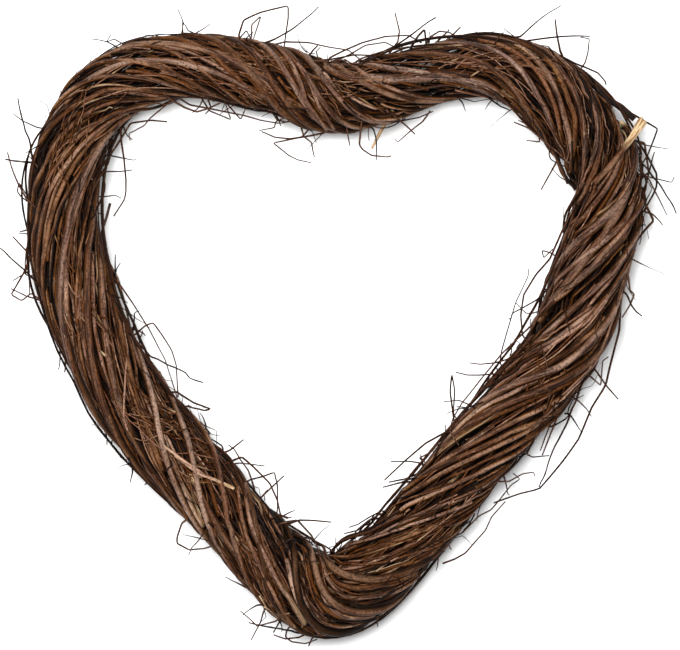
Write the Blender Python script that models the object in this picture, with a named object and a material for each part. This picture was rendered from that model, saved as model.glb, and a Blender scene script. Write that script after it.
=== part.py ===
"""A heart-shaped wreath of rattan canes, lying on its underside.

A ring of thin twigs follows the heart. Canes wind round it one after another, and each rests on what was laid
before it. Loose twigs stand out of the bundle. X runs to the right across the lobes, Y from the tip to the
cleft, and Z up. The origin is at floor level under the middle of the wreath.
"""

import math

import bmesh
import bpy
import numpy as np
from mathutils import Vector
from mathutils.bvhtree import BVHTree

# Driving sizes, in metres
HEART_WIDTH = 0.402  # across both lobes, over the bundle
HEART_HEIGHT = 0.392  # from the top of the lobes to the tip, over the bundle
BUNDLE_THICKNESS = 0.052  # typical thickness of the whole bundle
CANE_COVER = 0.0085  # how much of the bundle's radius the wound canes take up
THICK_CANE = 0.0082  # diameters of the canes at their butt ends
STOUT_CANE = 0.0068
MIDDLE_CANE = 0.0056
SLIM_CANE = 0.0044
LOOSE_TWIG = 0.0016
TWIG_REACH = 0.024  # how far a typical loose twig stands off the bundle
GROOVE_DEPTH = 0.0026  # depth of the grooves between the bunches of inner twigs
CANE_GAP = 0.0003  # clearance between pieces that touch
FLAT_DEPTH = 0.0016  # how far the lowest cane is pressed flat where it rests

# Shape of the bundle and its canes, as shares and angles
TIP_SHARE = 0.78  # a cane's diameter at its thin end, as a share of its butt
TWIG_RIDGES = 9  # ridges that the inner twigs show round the ring
RING_TURNS = 3  # turns that the ridges make on their way round the heart
RING_STEPS = 60  # sections along the ring of inner twigs
TURN_STEP = 30.0  # most degrees of winding in one straight stretch of a cane
STATION_STEP = 0.027  # most of the way round in one straight stretch of a cane
STRETCH_SAMPLES = 16  # points at which a stretch is tested against its neighbours
BEND_SPREAD = 0.035  # share of the way round over which sharp bends are fanned out
FAN_SAMPLES = 720  # stations at which the fan of the sections is worked out
EASE_ROUNDS = 30  # rounds in which a cane is eased off what lies under it
LIFT_ROUNDS = 12  # rounds in which it is then lifted clear
CANE_SIDES = 6  # sides of a cane's section
TWIG_SIDES = 4  # sides of a loose twig's section
TWIG_STRETCHES = 6  # straight stretches of a loose twig

# The heart's middle line at equal steps from the cleft over the right lobe, the tip and the left lobe:
# across and up as shares of its own width and height, and the bundle's local thickness as a share.
HEART_LINE = (
    (0.006, 0.443, 1.00),
    (0.157, 0.483, 0.84),
    (0.310, 0.489, 0.86),
    (0.437, 0.397, 0.95),
    (0.500, 0.257, 0.97),
    (0.461, 0.101, 1.06),
    (0.406, -0.048, 1.06),
    (0.310, -0.175, 0.95),
    (0.211, -0.298, 0.97),
    (0.108, -0.420, 1.02),
    (-0.023, -0.500, 1.10),
    (-0.146, -0.407, 0.98),
    (-0.253, -0.291, 1.00),
    (-0.351, -0.165, 1.08),
    (-0.437, -0.032, 1.05),
    (-0.496, 0.118, 1.00),
    (-0.500, 0.278, 0.94),
    (-0.437, 0.422, 0.93),
    (-0.301, 0.490, 0.92),
    (-0.146, 0.473, 1.00),
)

# Canes in the order in which they are laid: name, diameter, stations where the first and the last of the group
# cross the outer side of the bundle, the same for the inner side, number, and the angles round the bundle
# where they start and end. A station is the share of the way round from the cleft; angle 0 faces outwards,
# 90 up and 180 towards the middle of the heart.
CANES = (
    ("left_side_inner_cane", STOUT_CANE, (0.590, 0.590), (0.765, 0.765), 1, -75, 245),
    ("left_lobe_long_cane", MIDDLE_CANE, (0.790, 0.845), (1.010, 1.035), 2, -40, 175),
    ("wide_cane", THICK_CANE, (0.147, 0.147), (0.306, 0.306), 1, 52, 160),
    ("tip_stub", STOUT_CANE, (0.487, 0.487), (0.717, 0.717), 1, 10, 94),
    ("cleft_stub", THICK_CANE, (0.945, 0.945), (1.135, 1.135), 1, 50, 150),
    ("right_lobe_inner_cane", MIDDLE_CANE, (-0.024, -0.004), (0.062, 0.105), 2, -90, 270),
    ("right_lobe_cane", MIDDLE_CANE, (0.024, 0.100), (0.146, 0.208), 4, -90, 270),
    ("right_shoulder_cane", MIDDLE_CANE, (0.125, 0.150), (0.218, 0.238), 2, -90, 270),
    ("broken_cane", THICK_CANE, (0.168, 0.168), (0.256, 0.256), 1, 2, 262),
    ("right_side_cane", MIDDLE_CANE, (0.184, 0.225), (0.276, 0.335), 4, -90, 270),
    ("right_side_thick_cane", STOUT_CANE, (0.243, 0.262), (0.372, 0.400), 2, -90, 270),
    ("lower_right_cane", SLIM_CANE, (0.290, 0.385), (0.425, 0.493), 5, -90, 270),
    ("tip_right_cane", STOUT_CANE, (0.430, 0.463), (0.512, 0.533), 2, -90, 270),
    ("tip_cane", MIDDLE_CANE, (0.488, 0.503), (0.550, 0.590), 2, -90, 270),
    ("tip_left_cane", MIDDLE_CANE, (0.520, 0.560), (0.628, 0.705), 3, -90, 270),
    ("left_side_middle_cane", STOUT_CANE, (0.617, 0.617), (0.795, 0.795), 1, -90, 250),
    ("left_side_outer_cane", THICK_CANE, (0.662, 0.662), (0.855, 0.855), 1, -90, 235),
    ("left_side_cane", SLIM_CANE, (0.712, 0.745), (0.868, 0.884), 3, -90, 270),
    ("left_lobe_cane", SLIM_CANE, (0.772, 0.868), (0.896, 0.950), 5, -90, 270),
    ("cleft_left_cane", THICK_CANE, (0.905, 0.918), (0.979, 0.993), 2, -90, 270),
    ("cleft_wrap", MIDDLE_CANE, (0.938, 0.962), (1.002, 1.026), 3, -90, 270),
)

# Loose twigs: name, station and angle where the twig lies on the bundle, the share of the way round over
# which it runs (backwards if negative), how far its angle drifts, and how far its tip stands off, as a share
# of the typical reach.
LOOSE_TWIGS = (
    ("loose_twig_top", 0.940, 30, 0.034, -25, 1.30),
    ("loose_twig_cleft", 0.012, 25, 0.050, -10, 0.70),
    ("loose_twig_lobe", 0.098, 25, 0.030, -20, 0.90),
    ("loose_twig_right", 0.170, 20, 0.040, -15, 0.90),
    ("loose_twig_lower_right", 0.290, 20, 0.080, -15, 1.00),
    ("loose_twig_tip", 0.503, 15, 0.026, -5, 0.60),
    ("loose_twig_left", 0.735, 25, 0.032, -15, 1.00),
    ("loose_twig_shoulder", 0.800, 25, 0.030, -20, 0.95),
    ("loose_twig_inner_left", 0.705, 160, -0.060, 15, 0.85),
    ("loose_twig_inner_right", 0.245, 155, 0.055, 15, 0.85),
)

COLOURS = {  # linear base colour and roughness of each finish
    "inner_twigs": ((0.046, 0.022, 0.013), 0.75),
    "cane_bark": ((0.105, 0.062, 0.043), 0.60),
    "slim_bark": ((0.088, 0.045, 0.027), 0.62),
    "loose_twigs": ((0.060, 0.032, 0.022), 0.70),
}


def clear_scene():
    for obj in list(bpy.data.objects):
        bpy.data.objects.remove(obj, do_unlink=True)


def periodic_spline(values):
    """The closed cubic curve through equally spaced values: the values and its second differences."""
    count = len(values)
    system = 4 * np.eye(count) + np.roll(np.eye(count), 1, 0) + np.roll(np.eye(count), -1, 0)
    ahead = np.roll(values, -1, 0)
    behind = np.roll(values, 1, 0)
    second = np.linalg.solve(system, 6 * (ahead - 2 * values + behind))
    return values, second


def spline_at(spline, station):
    """The closed curve's value at each station."""
    values, second = spline
    count = len(values)
    place = np.mod(station, 1.0) * count
    first = np.floor(place).astype(int) % count
    after = (first + 1) % count
    t = (place - np.floor(place))[:, None]
    bend = (2 - t) * second[first] + (1 + t) * second[after]
    return values[first] * (1 - t) + values[after] * t - t * (1 - t) * bend / 6


def heart_spline():
    """The bundle's middle line and its local radius: x, y and radius."""
    line = np.array(HEART_LINE)
    x = line[:, 0] * (HEART_WIDTH - BUNDLE_THICKNESS)
    y = line[:, 1] * (HEART_HEIGHT - BUNDLE_THICKNESS)
    return periodic_spline(np.stack([x, y, BUNDLE_THICKNESS / 2 * line[:, 2]], 1))


def fan_of_sections(heart):
    """Outward direction at equally spaced stations, with the sharp bends spread over a longer stretch."""
    station = np.arange(FAN_SAMPLES) / FAN_SAMPLES
    step = 1 / FAN_SAMPLES
    along = spline_at(heart, station + step)[:, :2] - spline_at(heart, station - step)[:, :2]
    outward = np.stack([-along[:, 1], along[:, 0]], 1)
    outward /= np.linalg.norm(outward, axis=1)[:, None]
    reach = np.minimum(station, 1 - station)
    weight = np.exp(-2 * (reach / BEND_SPREAD) ** 2)
    spectrum = np.fft.fft(outward, axis=0) * np.fft.fft(weight)[:, None]
    return np.fft.ifft(spectrum, axis=0).real


HEART = heart_spline()
FAN = fan_of_sections(HEART)


def spokes(station, degrees):
    """Centre of the bundle, its radius, and the direction away from the centre at each angle."""
    at = spline_at(HEART, station)
    place = np.mod(station, 1.0) * FAN_SAMPLES
    first = np.floor(place).astype(int) % FAN_SAMPLES
    t = (place - np.floor(place))[:, None]
    outward = FAN[first] * (1 - t) + FAN[(first + 1) % FAN_SAMPLES] * t
    outward /= np.linalg.norm(outward, axis=1)[:, None]
    turn = np.radians(degrees)
    away = np.column_stack([outward * np.cos(turn)[:, None], np.sin(turn)])
    centre = np.column_stack([at[:, :2], np.full(len(at), BUNDLE_THICKNESS / 2)])
    return centre, at[:, 2], away


def material(name):
    """Principled material of one finish."""
    made = bpy.data.materials.get(name)
    if made is None:
        made = bpy.data.materials.new(name)
        made.use_nodes = True
        shader = made.node_tree.nodes["Principled BSDF"]
        colour, roughness = COLOURS[name]
        shader.inputs["Base Color"].default_value = (*colour, 1.0)
        shader.inputs["Roughness"].default_value = roughness
        shader.inputs["Metallic"].default_value = 0.0
    return made


def curve_object(name, points, widths, closed, collection, finish):
    """A curve object with one spline of straight stretches, and a width factor at each of its points."""
    data = bpy.data.curves.new(name, "CURVE")
    data.dimensions = "3D"
    data.twist_mode = "Z_UP" if closed else "MINIMUM"
    spline = data.splines.new("POLY")
    spline.points.add(len(points) - 1)
    for target, point, width in zip(spline.points, points, widths):
        target.co = (*point, 1.0)
        target.radius = width
    spline.use_cyclic_u = closed
    data.materials.append(material(finish))
    obj = bpy.data.objects.new(name, data)
    collection.objects.link(obj)
    return obj


def tube_object(name, points, widths, diameter, sides, collection, finish):
    """A tube with closed ends along the points, whose diameter is scaled by each point's width."""
    tube = curve_object(name, points, widths, False, collection, finish)
    tube.data.bevel_depth = diameter / 2
    tube.data.bevel_resolution = (sides - 4) // 2
    tube.data.use_fill_caps = True
    return tube


def ridged_outline(guides):
    """Closed outline of unit radius with a ridge for each bunch of twigs."""
    data = bpy.data.curves.new("twig_ridges", "CURVE")
    data.dimensions = "2D"
    spline = data.splines.new("POLY")
    count = 2 * TWIG_RIDGES
    groove = GROOVE_DEPTH / (BUNDLE_THICKNESS / 2 - CANE_COVER)
    spline.points.add(count - 1)
    for i, target in enumerate(spline.points):
        angle = 2 * math.pi * i / count
        reach = 1 - groove * (i % 2)
        target.co = (reach * math.cos(angle), reach * math.sin(angle), 0.0, 1.0)
    spline.use_cyclic_u = True
    outline = bpy.data.objects.new("twig_ridges", data)
    outline.hide_render = True
    outline.display_type = "WIRE"
    guides.objects.link(outline)
    return outline


def mesh_in_place(obj):
    """The evaluated curve as a mesh object of the same name and place, with its caps welded."""
    graph = bpy.context.evaluated_depsgraph_get()
    mesh = bpy.data.meshes.new_from_object(obj.evaluated_get(graph))
    shape = bmesh.new()
    shape.from_mesh(mesh)
    bmesh.ops.remove_doubles(shape, verts=shape.verts, dist=CANE_GAP / 100)
    bmesh.ops.recalc_face_normals(shape, faces=shape.faces)
    shape.to_mesh(mesh)
    shape.free()
    name = obj.name
    collections = list(obj.users_collection)
    placed = obj.matrix_world.copy()
    bpy.data.objects.remove(obj, do_unlink=True)
    made = bpy.data.objects.new(name, mesh)
    made.matrix_world = placed
    for collection in collections:
        collection.objects.link(made)
    return made


def inner_twig_ring(collection, guides):
    """The ring of thin twigs inside the wound canes, all round the heart."""
    station = np.arange(RING_STEPS) / RING_STEPS
    centre, radius, _ = spokes(station, np.zeros(RING_STEPS))
    core = radius - CANE_COVER
    ring = curve_object("inner_twigs", centre, core, True, collection, "inner_twigs")
    for i, point in enumerate(ring.data.splines[0].points):
        point.tilt = -2 * math.pi * RING_TURNS * i / RING_STEPS
    ring.data.bevel_mode = "OBJECT"
    ring.data.bevel_object = ridged_outline(guides)
    return mesh_in_place(ring)


class Bundle:
    """What has been laid so far: the inner ring as a surface, and the canes as close-set points."""

    def __init__(self, ring):
        self.ring = BVHTree.FromObject(ring, bpy.context.evaluated_depsgraph_get())
        self.points = np.zeros((0, 3))
        self.radii = np.zeros(0)

    def lift_off_ring(self, points, away, radii):
        """How far each point has to move away from the centre to clear the inner ring."""
        lift = np.zeros(len(points))
        for i, point in enumerate(points):
            place, normal, _, distance = self.ring.find_nearest(Vector(point))
            outside = (Vector(point) - place).dot(normal) > 0
            depth = radii[i] + CANE_GAP - (distance if outside else -distance)
            lift[i] = depth / max(normal.dot(Vector(away[i])), 0.5)
        return lift

    def lift_off_canes(self, points, away, radii):
        """How far each point has to move away from the centre to clear the canes it now meets."""
        low = points.min(0) - BUNDLE_THICKNESS
        high = points.max(0) + BUNDLE_THICKNESS
        near = ((self.points > low) & (self.points < high)).all(1)
        if not near.any():
            return np.zeros(len(points))
        offset = self.points[near][None] - points[:, None]
        reach = radii[:, None] + self.radii[near][None] + CANE_GAP
        square = (offset**2).sum(2)
        along = np.einsum("ijk,ik->ij", offset, away)
        past = along + np.sqrt(np.maximum(reach**2 - square + along**2, 0))
        return np.where(square < reach**2, past, 0).max(1)

    def add(self, points, radii):
        self.points = np.concatenate([self.points, points])
        self.radii = np.concatenate([self.radii, radii])


def sampled(values):
    """Values at close-set places along the straight stretches between neighbouring ones."""
    t = np.arange(STRETCH_SAMPLES)[:, None] / STRETCH_SAMPLES
    stretches = [a * (1 - t) + b * t for a, b in zip(values[:-1], values[1:])]
    return np.concatenate([*stretches, values[-1:]])


def rise_at_ends(lift, eased):
    """How far the ends of each stretch rise, so that its worst sample is lifted by what it needs."""
    stretches = (len(lift) - 1) // STRETCH_SAMPLES
    rise = np.zeros(stretches + 1)
    for i in range(stretches):
        part = lift[i * STRETCH_SAMPLES : (i + 1) * STRETCH_SAMPLES + 1]
        worst = int(part.argmax())
        if part[worst] <= 0:
            continue
        t = worst / STRETCH_SAMPLES
        shares = np.array([1 - t, t]) / ((1 - t) ** 2 + t**2) if eased else np.ones(2)
        rise[i : i + 2] = np.maximum(rise[i : i + 2], part[worst] * shares)
    return rise


def lay(bundle, station, degrees, radii, stand_off=0.0):
    """Points of a cane that winds round the bundle and rests on what was laid before it.

    The cane starts on the inner ring. As long as it meets the ring or a cane, the ends of that stretch move
    away from the bundle's centre, first by shares and at last together.
    """
    centre, bundle_radius, away = spokes(station, degrees)
    distance = bundle_radius - CANE_COVER + radii
    fine_radii = sampled(radii[:, None])[:, 0]
    fine_away = sampled(away)
    fine_away /= np.linalg.norm(fine_away, axis=1)[:, None]
    for i in range(EASE_ROUNDS + LIFT_ROUNDS):
        fine = sampled(centre + away * distance[:, None])
        lift = np.maximum(
            bundle.lift_off_ring(fine, fine_away, fine_radii),
            bundle.lift_off_canes(fine, fine_away, fine_radii),
        )
        if lift.max() < CANE_GAP / 10:
            break
        distance = distance + rise_at_ends(lift, i < EASE_ROUNDS)
    points = centre + away * (distance + stand_off)[:, None]
    bundle.add(sampled(points), fine_radii)
    return points


def lay_canes(bundle, collection):
    """Every wound cane, in the order in which they are laid."""
    canes = []
    for name, diameter, outers, inners, count, start, end in CANES:
        for i in range(count):
            share = i / max(1, count - 1)
            outer = outers[0] + share * (outers[1] - outers[0])
            per_degree = (inners[0] + share * (inners[1] - inners[0]) - outer) / 180
            turn = end - start
            stretches = math.ceil(max(turn / TURN_STEP, turn * per_degree / STATION_STEP))
            degrees = np.linspace(start, end, stretches + 1)
            widths = np.linspace(1, TIP_SHARE, stretches + 1)
            points = lay(bundle, outer + degrees * per_degree, degrees, widths * diameter / 2)
            label = name if count == 1 else f"{name}_{i + 1}"
            finish = "slim_bark" if diameter == SLIM_CANE else "cane_bark"
            canes.append(tube_object(label, points, widths, diameter, CANE_SIDES, collection, finish))
    return canes


def lay_loose_twigs(bundle, collection):
    """The loose twigs, which lie on the canes with one end and stand off with the other."""
    twigs = []
    for name, start, angle, run, drift, reach in LOOSE_TWIGS:
        t = np.linspace(0, 1, TWIG_STRETCHES + 1)
        stand_off = reach * TWIG_REACH * np.maximum(0, (t - t[1]) / (1 - t[1])) ** 1.4
        widths = 1 - (1 - TIP_SHARE) * t
        points = lay(bundle, start + run * t, angle + drift * t, widths * LOOSE_TWIG / 2, stand_off)
        twigs.append(
            tube_object(name, points, widths, LOOSE_TWIG, TWIG_SIDES, collection, "loose_twigs")
        )
    return twigs


def corners(obj):
    """World positions of the evaluated object's vertices."""
    evaluated = obj.evaluated_get(bpy.context.evaluated_depsgraph_get())
    mesh = evaluated.to_mesh()
    place = np.zeros(len(mesh.vertices) * 3)
    mesh.vertices.foreach_get("co", place)
    evaluated.to_mesh_clear()
    return place.reshape(-1, 3) @ np.array(obj.matrix_world.to_3x3()).T + np.array(obj.matrix_world.translation)


def pressed_flat(cane, level):
    """The cane as a mesh, cut at the level it rests on, with the cut closed."""
    cane = mesh_in_place(cane)
    shape = bmesh.new()
    shape.from_mesh(cane.data)
    cut = bmesh.ops.bisect_plane(
        shape,
        geom=[*shape.verts, *shape.edges, *shape.faces],
        plane_co=(0, 0, level),
        plane_no=(0, 0, -1),
        clear_outer=True,
    )
    edges = [part for part in cut["geom_cut"] if isinstance(part, bmesh.types.BMEdge)]
    bmesh.ops.holes_fill(shape, edges=edges)
    bmesh.ops.recalc_face_normals(shape, faces=shape.faces)
    shape.to_mesh(cane.data)
    shape.free()
    return cane


def main():
    clear_scene()
    collection = bpy.data.collections.new("rattan_wreath")
    guides = bpy.data.collections.new("guides")
    for group in (collection, guides):
        bpy.context.scene.collection.children.link(group)
    ring = inner_twig_ring(collection, guides)
    bpy.context.view_layer.update()
    bundle = Bundle(ring)
    canes = lay_canes(bundle, collection)
    twigs = lay_loose_twigs(bundle, collection)

    bpy.context.view_layer.update()
    lowest = {cane.name: corners(cane)[:, 2].min() for cane in canes}
    level = min(lowest.values()) + FLAT_DEPTH
    canes = [pressed_flat(cane, level) if lowest[cane.name] < level else cane for cane in canes]

    bpy.context.view_layer.update()
    wreath = np.concatenate([corners(piece) for piece in (ring, *canes, *twigs)])
    middle = (wreath.min(0) + wreath.max(0)) / 2
    stand = bpy.data.objects.new("wreath_origin", None)
    stand.location = (-middle[0], -middle[1], -level)
    collection.objects.link(stand)
    for piece in (ring, *canes, *twigs):
        piece.parent = stand


main()
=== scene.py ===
"""Heart-shaped wreath of rattan canes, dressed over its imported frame.

The bundle's middle line and radius follow those of the solids to within 3 mm, and the canes wind as theirs
do, a little thinner. A grid of stations and angles round the bundle holds how far out the laid twigs reach.
Each cane is laid on that grid and raises it, so canes lie beside and over each other.
"""

import math

import bpy
import numpy as np
from bpy.props import FloatProperty, FloatVectorProperty, IntProperty, PointerProperty
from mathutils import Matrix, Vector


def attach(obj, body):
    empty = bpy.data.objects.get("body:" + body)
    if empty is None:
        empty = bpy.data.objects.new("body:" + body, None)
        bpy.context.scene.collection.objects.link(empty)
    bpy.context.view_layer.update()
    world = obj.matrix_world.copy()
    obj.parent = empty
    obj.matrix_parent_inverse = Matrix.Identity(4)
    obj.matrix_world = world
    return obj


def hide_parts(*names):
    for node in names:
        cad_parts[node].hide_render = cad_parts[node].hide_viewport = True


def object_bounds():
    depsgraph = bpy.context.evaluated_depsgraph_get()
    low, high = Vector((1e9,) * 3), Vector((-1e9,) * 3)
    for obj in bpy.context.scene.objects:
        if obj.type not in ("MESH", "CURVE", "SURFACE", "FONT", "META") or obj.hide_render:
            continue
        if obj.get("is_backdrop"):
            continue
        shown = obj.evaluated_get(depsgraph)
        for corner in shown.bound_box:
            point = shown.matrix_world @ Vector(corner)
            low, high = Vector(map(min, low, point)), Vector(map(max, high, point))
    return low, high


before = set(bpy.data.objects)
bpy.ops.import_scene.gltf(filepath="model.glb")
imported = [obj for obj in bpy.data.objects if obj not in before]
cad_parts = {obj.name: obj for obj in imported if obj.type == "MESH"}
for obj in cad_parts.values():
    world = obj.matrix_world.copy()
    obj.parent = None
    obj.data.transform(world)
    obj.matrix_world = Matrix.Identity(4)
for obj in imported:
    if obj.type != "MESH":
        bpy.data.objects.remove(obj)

bl_info = {
    "name": "Rattan Wreath",
    "version": (1, 0, 0),
    "blender": (4, 5, 0),
    "location": "3D View > Sidebar > Rattan Wreath",
    "description": "Builds the twigs, canes and bark of a heart-shaped rattan wreath",
    "category": "Add Mesh",
}

# The bundle, in metres. Its canes are a little thinner than their solids.
HEART_WIDTH = 0.402
HEART_HEIGHT = 0.392
BUNDLE_THICKNESS = 0.052
CANE_COVER = 0.0085  # depth of the wound canes over the inner twigs
THICK_CANE = 0.0072
STOUT_CANE = 0.0060
MIDDLE_CANE = 0.0050
SLIM_CANE = 0.0040
LOOSE_TWIG = 0.0015
TWIG_REACH = 0.024  # how far a loose twig's tip stands off where its row says 1
TIP_SHARE = 0.78  # thickness of a cane's last end as a share of its first
TWIG_TIP_SHARE = 0.6  # the same of a thin twig
CORE_DEPTH = 0.0130  # from the canes' bed down to the dark core
CORE_LEAST = 0.002  # radius of the core where the bundle is thinnest
RING = 0.022  # from the middle line out to a cane's own middle
FLOOR_CLEARANCE = 0.0002
WREATH_ORIGIN = (-0.00067, -0.00354, 0.00682)  # where the solids' frame puts the middle line's origin
MIDDLE_HEIGHT = BUNDLE_THICKNESS / 2 + WREATH_ORIGIN[2]  # of the middle line over the floor
HIGHEST = 0.0672  # top of the tallest twig over the floor
BEND_SPREAD = 0.035  # share of the way round over which the spokes fan out at a bend
TABLE_STATIONS = 2880  # stations at which the bundle's middle line is worked out

# The grid of laid twigs, and how a cane lies on it, in metres
GRID_STATIONS = 1440  # cells along the heart
GRID_ANGLES = 210  # cells round the bundle
SAMPLE = 0.0008  # between the samples of a cane that is being laid
FOOTPRINT_STEP = 0.0006  # between the lines along the strip that a cane covers
LEAST_GROUND = 0.2  # least length of a station inside a bend, as a share of that on the middle line
CANE_SINK = 0.8  # share of its round side by which a cane keeps clear of what it lies on
BRIDGE = 0.003  # length that a cane spans each way without sagging, before its diameter's share
BRIDGE_PER_DIAMETER = 1.6
JOINT_SPACING = 0.016  # between a cane's joints, before its diameter's share
SPACING_PER_DIAMETER = 4
JOINT_EASE = 0.004  # half the length over which a joint is rounded
OUTER_GAP = 0.0002  # by which a pulled cane stays inside the bundle's radius
PULL_SOFTNESS = 0.0012  # distance over which the pull sets in

# Twigs that stand free, in metres
FREE_SPACING = 0.009  # between their joints
MOST_TURN = 1.2  # radians by which they may turn away from where they set out
STRAY_EASE = 0.0015  # half the length over which a stray twig's joint is rounded
STRAY_START = (-0.004, 0.010)  # range of its height over the middle line where it leaves the bundle
STRAY_RISE = (-0.006, 0.008)  # range by which it rises to its end
STRAY_TIP_SHARE = 0.65  # thickness of its end as a share of its start

# Tone of the bark, and its painted shade
DARKEST = 0.05  # brightness of a twig of tone 0
LIGHTEST = 2.02  # brightness of a twig of tone 1
PAINTED_FLANK_SHADE = 0.07  # painted shade: share of its brightness that a cane keeps on the side toward the bundle
PAINTED_SHADE_START = -0.20  # the painted shade starts where the cosine of the angle from straight out is below this
PAINTED_SHADE_SPAN = 0.75

# Middle line at equal steps from the cleft over the right lobe, the tip and the left lobe: across, up and
# thickness, as shares of the heart's width and height and the bundle's thickness
HEART_LINE = (
    (0.006, 0.441, 0.98), (0.157, 0.477, 0.79), (0.310, 0.491, 0.84), (0.438, 0.399, 0.99),
    (0.498, 0.257, 0.98), (0.465, 0.100, 0.95), (0.413, -0.050, 1.07), (0.310, -0.175, 0.95),
    (0.213, -0.300, 0.91), (0.107, -0.423, 0.95), (-0.026, -0.514, 1.10), (-0.153, -0.416, 0.94),
    (-0.258, -0.297, 0.98), (-0.361, -0.174, 1.06), (-0.448, -0.038, 0.97), (-0.502, 0.119, 0.93),
    (-0.512, 0.281, 0.90), (-0.448, 0.433, 0.89), (-0.303, 0.498, 0.82), (-0.146, 0.478, 0.89),
)

# Canes in the order in which they are laid: name, diameter, stations of the first and last at the outer side,
# the same at the inner side, number, and the angles where they start and end.
CANES = (
    ("left_side_inner_cane", STOUT_CANE, (0.590, 0.590), (0.765, 0.765), 1, -75, 245),
    ("left_lobe_long_cane", MIDDLE_CANE, (0.790, 0.845), (1.010, 1.035), 2, -40, 175),
    ("wide_cane", THICK_CANE, (0.147, 0.147), (0.306, 0.306), 1, 52, 160),
    ("tip_stub", STOUT_CANE, (0.487, 0.487), (0.717, 0.717), 1, 10, 94),
    ("cleft_stub", THICK_CANE, (0.945, 0.945), (1.135, 1.135), 1, 50, 150),
    ("right_lobe_inner_cane", MIDDLE_CANE, (-0.024, -0.004), (0.062, 0.105), 2, -90, 270),
    ("right_lobe_cane", MIDDLE_CANE, (0.024, 0.100), (0.146, 0.208), 4, -90, 270),
    ("right_shoulder_cane", MIDDLE_CANE, (0.125, 0.150), (0.218, 0.238), 2, -90, 270),
    ("right_side_cane", MIDDLE_CANE, (0.184, 0.225), (0.276, 0.335), 4, -90, 270),
    ("lower_right_cane", SLIM_CANE, (0.290, 0.385), (0.425, 0.493), 5, -90, 270),
    ("left_side_cane", SLIM_CANE, (0.712, 0.745), (0.868, 0.884), 3, -90, 270),
    ("left_lobe_cane", SLIM_CANE, (0.772, 0.868), (0.896, 0.950), 5, -90, 270),
)

# Canes that lie over the thin twigs
LAST_CANES = (
    ("right_side_thick_cane", STOUT_CANE, (0.243, 0.262), (0.372, 0.400), 2, -90, 270),
    ("broken_cane", THICK_CANE, (0.168, 0.168), (0.256, 0.256), 1, -4, 262),
    ("tip_right_cane", STOUT_CANE, (0.430, 0.463), (0.512, 0.533), 2, -90, 270),
    ("tip_cane", MIDDLE_CANE, (0.488, 0.503), (0.550, 0.590), 2, -90, 270),
    ("tip_left_cane", MIDDLE_CANE, (0.520, 0.560), (0.628, 0.705), 3, -90, 270),
    ("left_side_middle_cane", STOUT_CANE, (0.617, 0.617), (0.795, 0.795), 1, -90, 250),
    ("left_side_outer_cane", THICK_CANE, (0.662, 0.662), (0.855, 0.855), 1, -90, 235),
    ("cleft_left_cane", THICK_CANE, (0.905, 0.918), (0.979, 0.993), 2, -90, 270),
    ("cleft_wrap", MIDDLE_CANE, (0.938, 0.962), (1.002, 1.026), 3, -90, 270),
)

# Patches of fine twigs that show between the canes: first and last station, first and last share across,
# slant from the bundle's length in degrees, and number
TANGLES = (
    (0.930, 0.992, -0.95, 0.75, 8, 70),
    (0.995, 0.035, -0.90, 0.10, 15, 26),
    (0.062, 0.125, -0.75, 0.30, -5, 46),
    (0.272, 0.345, -0.75, 0.45, -24, 14),
    (0.385, 0.455, -0.60, 0.50, 12, 34),
    (0.525, 0.575, -0.95, -0.10, 20, 44),
    (0.600, 0.660, -0.20, 0.95, -28, 46),
    (0.700, 0.760, -0.60, 0.60, 5, 34),
    (0.800, 0.845, -0.50, 0.70, 0, 30),
    (0.860, 0.925, -0.95, 0.60, 12, 40),
)

# Canes that end in bare broken wood: which end, 0 the first and 1 the last, and over what length
BROKEN_ENDS = {
    "broken_cane": (0, 0.004),
    "tip_stub": (1, 0.006),
    "cleft_stub": (1, 0.004),
    "wide_cane": (0, 0.010),
}

# Loose twigs of the solids: name, station and angle where it lies, share of the way round, drift of the
# angle, and stand-off of its tip
LOOSE_TWIGS = (
    ("loose_twig_top", 0.940, 30, 0.034, -25, 1.30),
    ("loose_twig_cleft", 0.012, 25, 0.050, -10, 0.70),
    ("loose_twig_lobe", 0.098, 25, 0.030, -20, 0.90),
    ("loose_twig_right", 0.170, 20, 0.040, -15, 0.90),
    ("loose_twig_lower_right", 0.290, 20, 0.080, -15, 1.00),
    ("loose_twig_tip", 0.503, 15, 0.026, -5, 0.60),
    ("loose_twig_left", 0.735, 25, 0.032, -15, 1.00),
    ("loose_twig_shoulder", 0.800, 25, 0.030, -20, 0.95),
    ("loose_twig_inner_left", 0.705, 160, -0.060, 15, 0.85),
    ("loose_twig_inner_right", 0.245, 155, 0.055, 15, 0.85),
)

# How steeply the canes wind: station, and the share of the way round that a cane covers while it passes from
# the outer to the inner side
WINDING = (
    (0.000, 0.048), (0.020, 0.070), (0.045, 0.087), (0.075, 0.130), (0.110, 0.145), (0.150, 0.115),
    (0.175, 0.085), (0.210, 0.095), (0.240, 0.115), (0.280, 0.125), (0.330, 0.150), (0.370, 0.130),
    (0.400, 0.115), (0.430, 0.120), (0.460, 0.100), (0.485, 0.075), (0.500, 0.060), (0.515, 0.062),
    (0.535, 0.085), (0.560, 0.120), (0.600, 0.165), (0.650, 0.180), (0.700, 0.185), (0.750, 0.175),
    (0.790, 0.140), (0.820, 0.115), (0.850, 0.090), (0.870, 0.080), (0.900, 0.100), (0.930, 0.095),
    (0.955, 0.068), (0.975, 0.052),
)

# Tones of the canes, from 0 to 1, and of those that stand out as lighter or darker than their neighbours
THICK_TONE = 0.34
THIN_TONE = 0.46
TONE_SPREAD = 0.14
TONES = {
    "left_side_outer_cane": 0.40,
    "left_side_middle_cane": 0.34,
    "cleft_left_cane": 0.38,
    "cleft_stub": 0.42,
    "tip_cane": 0.22,
    "tip_right_cane": 0.22,
    "broken_cane": 0.42,
}

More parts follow.
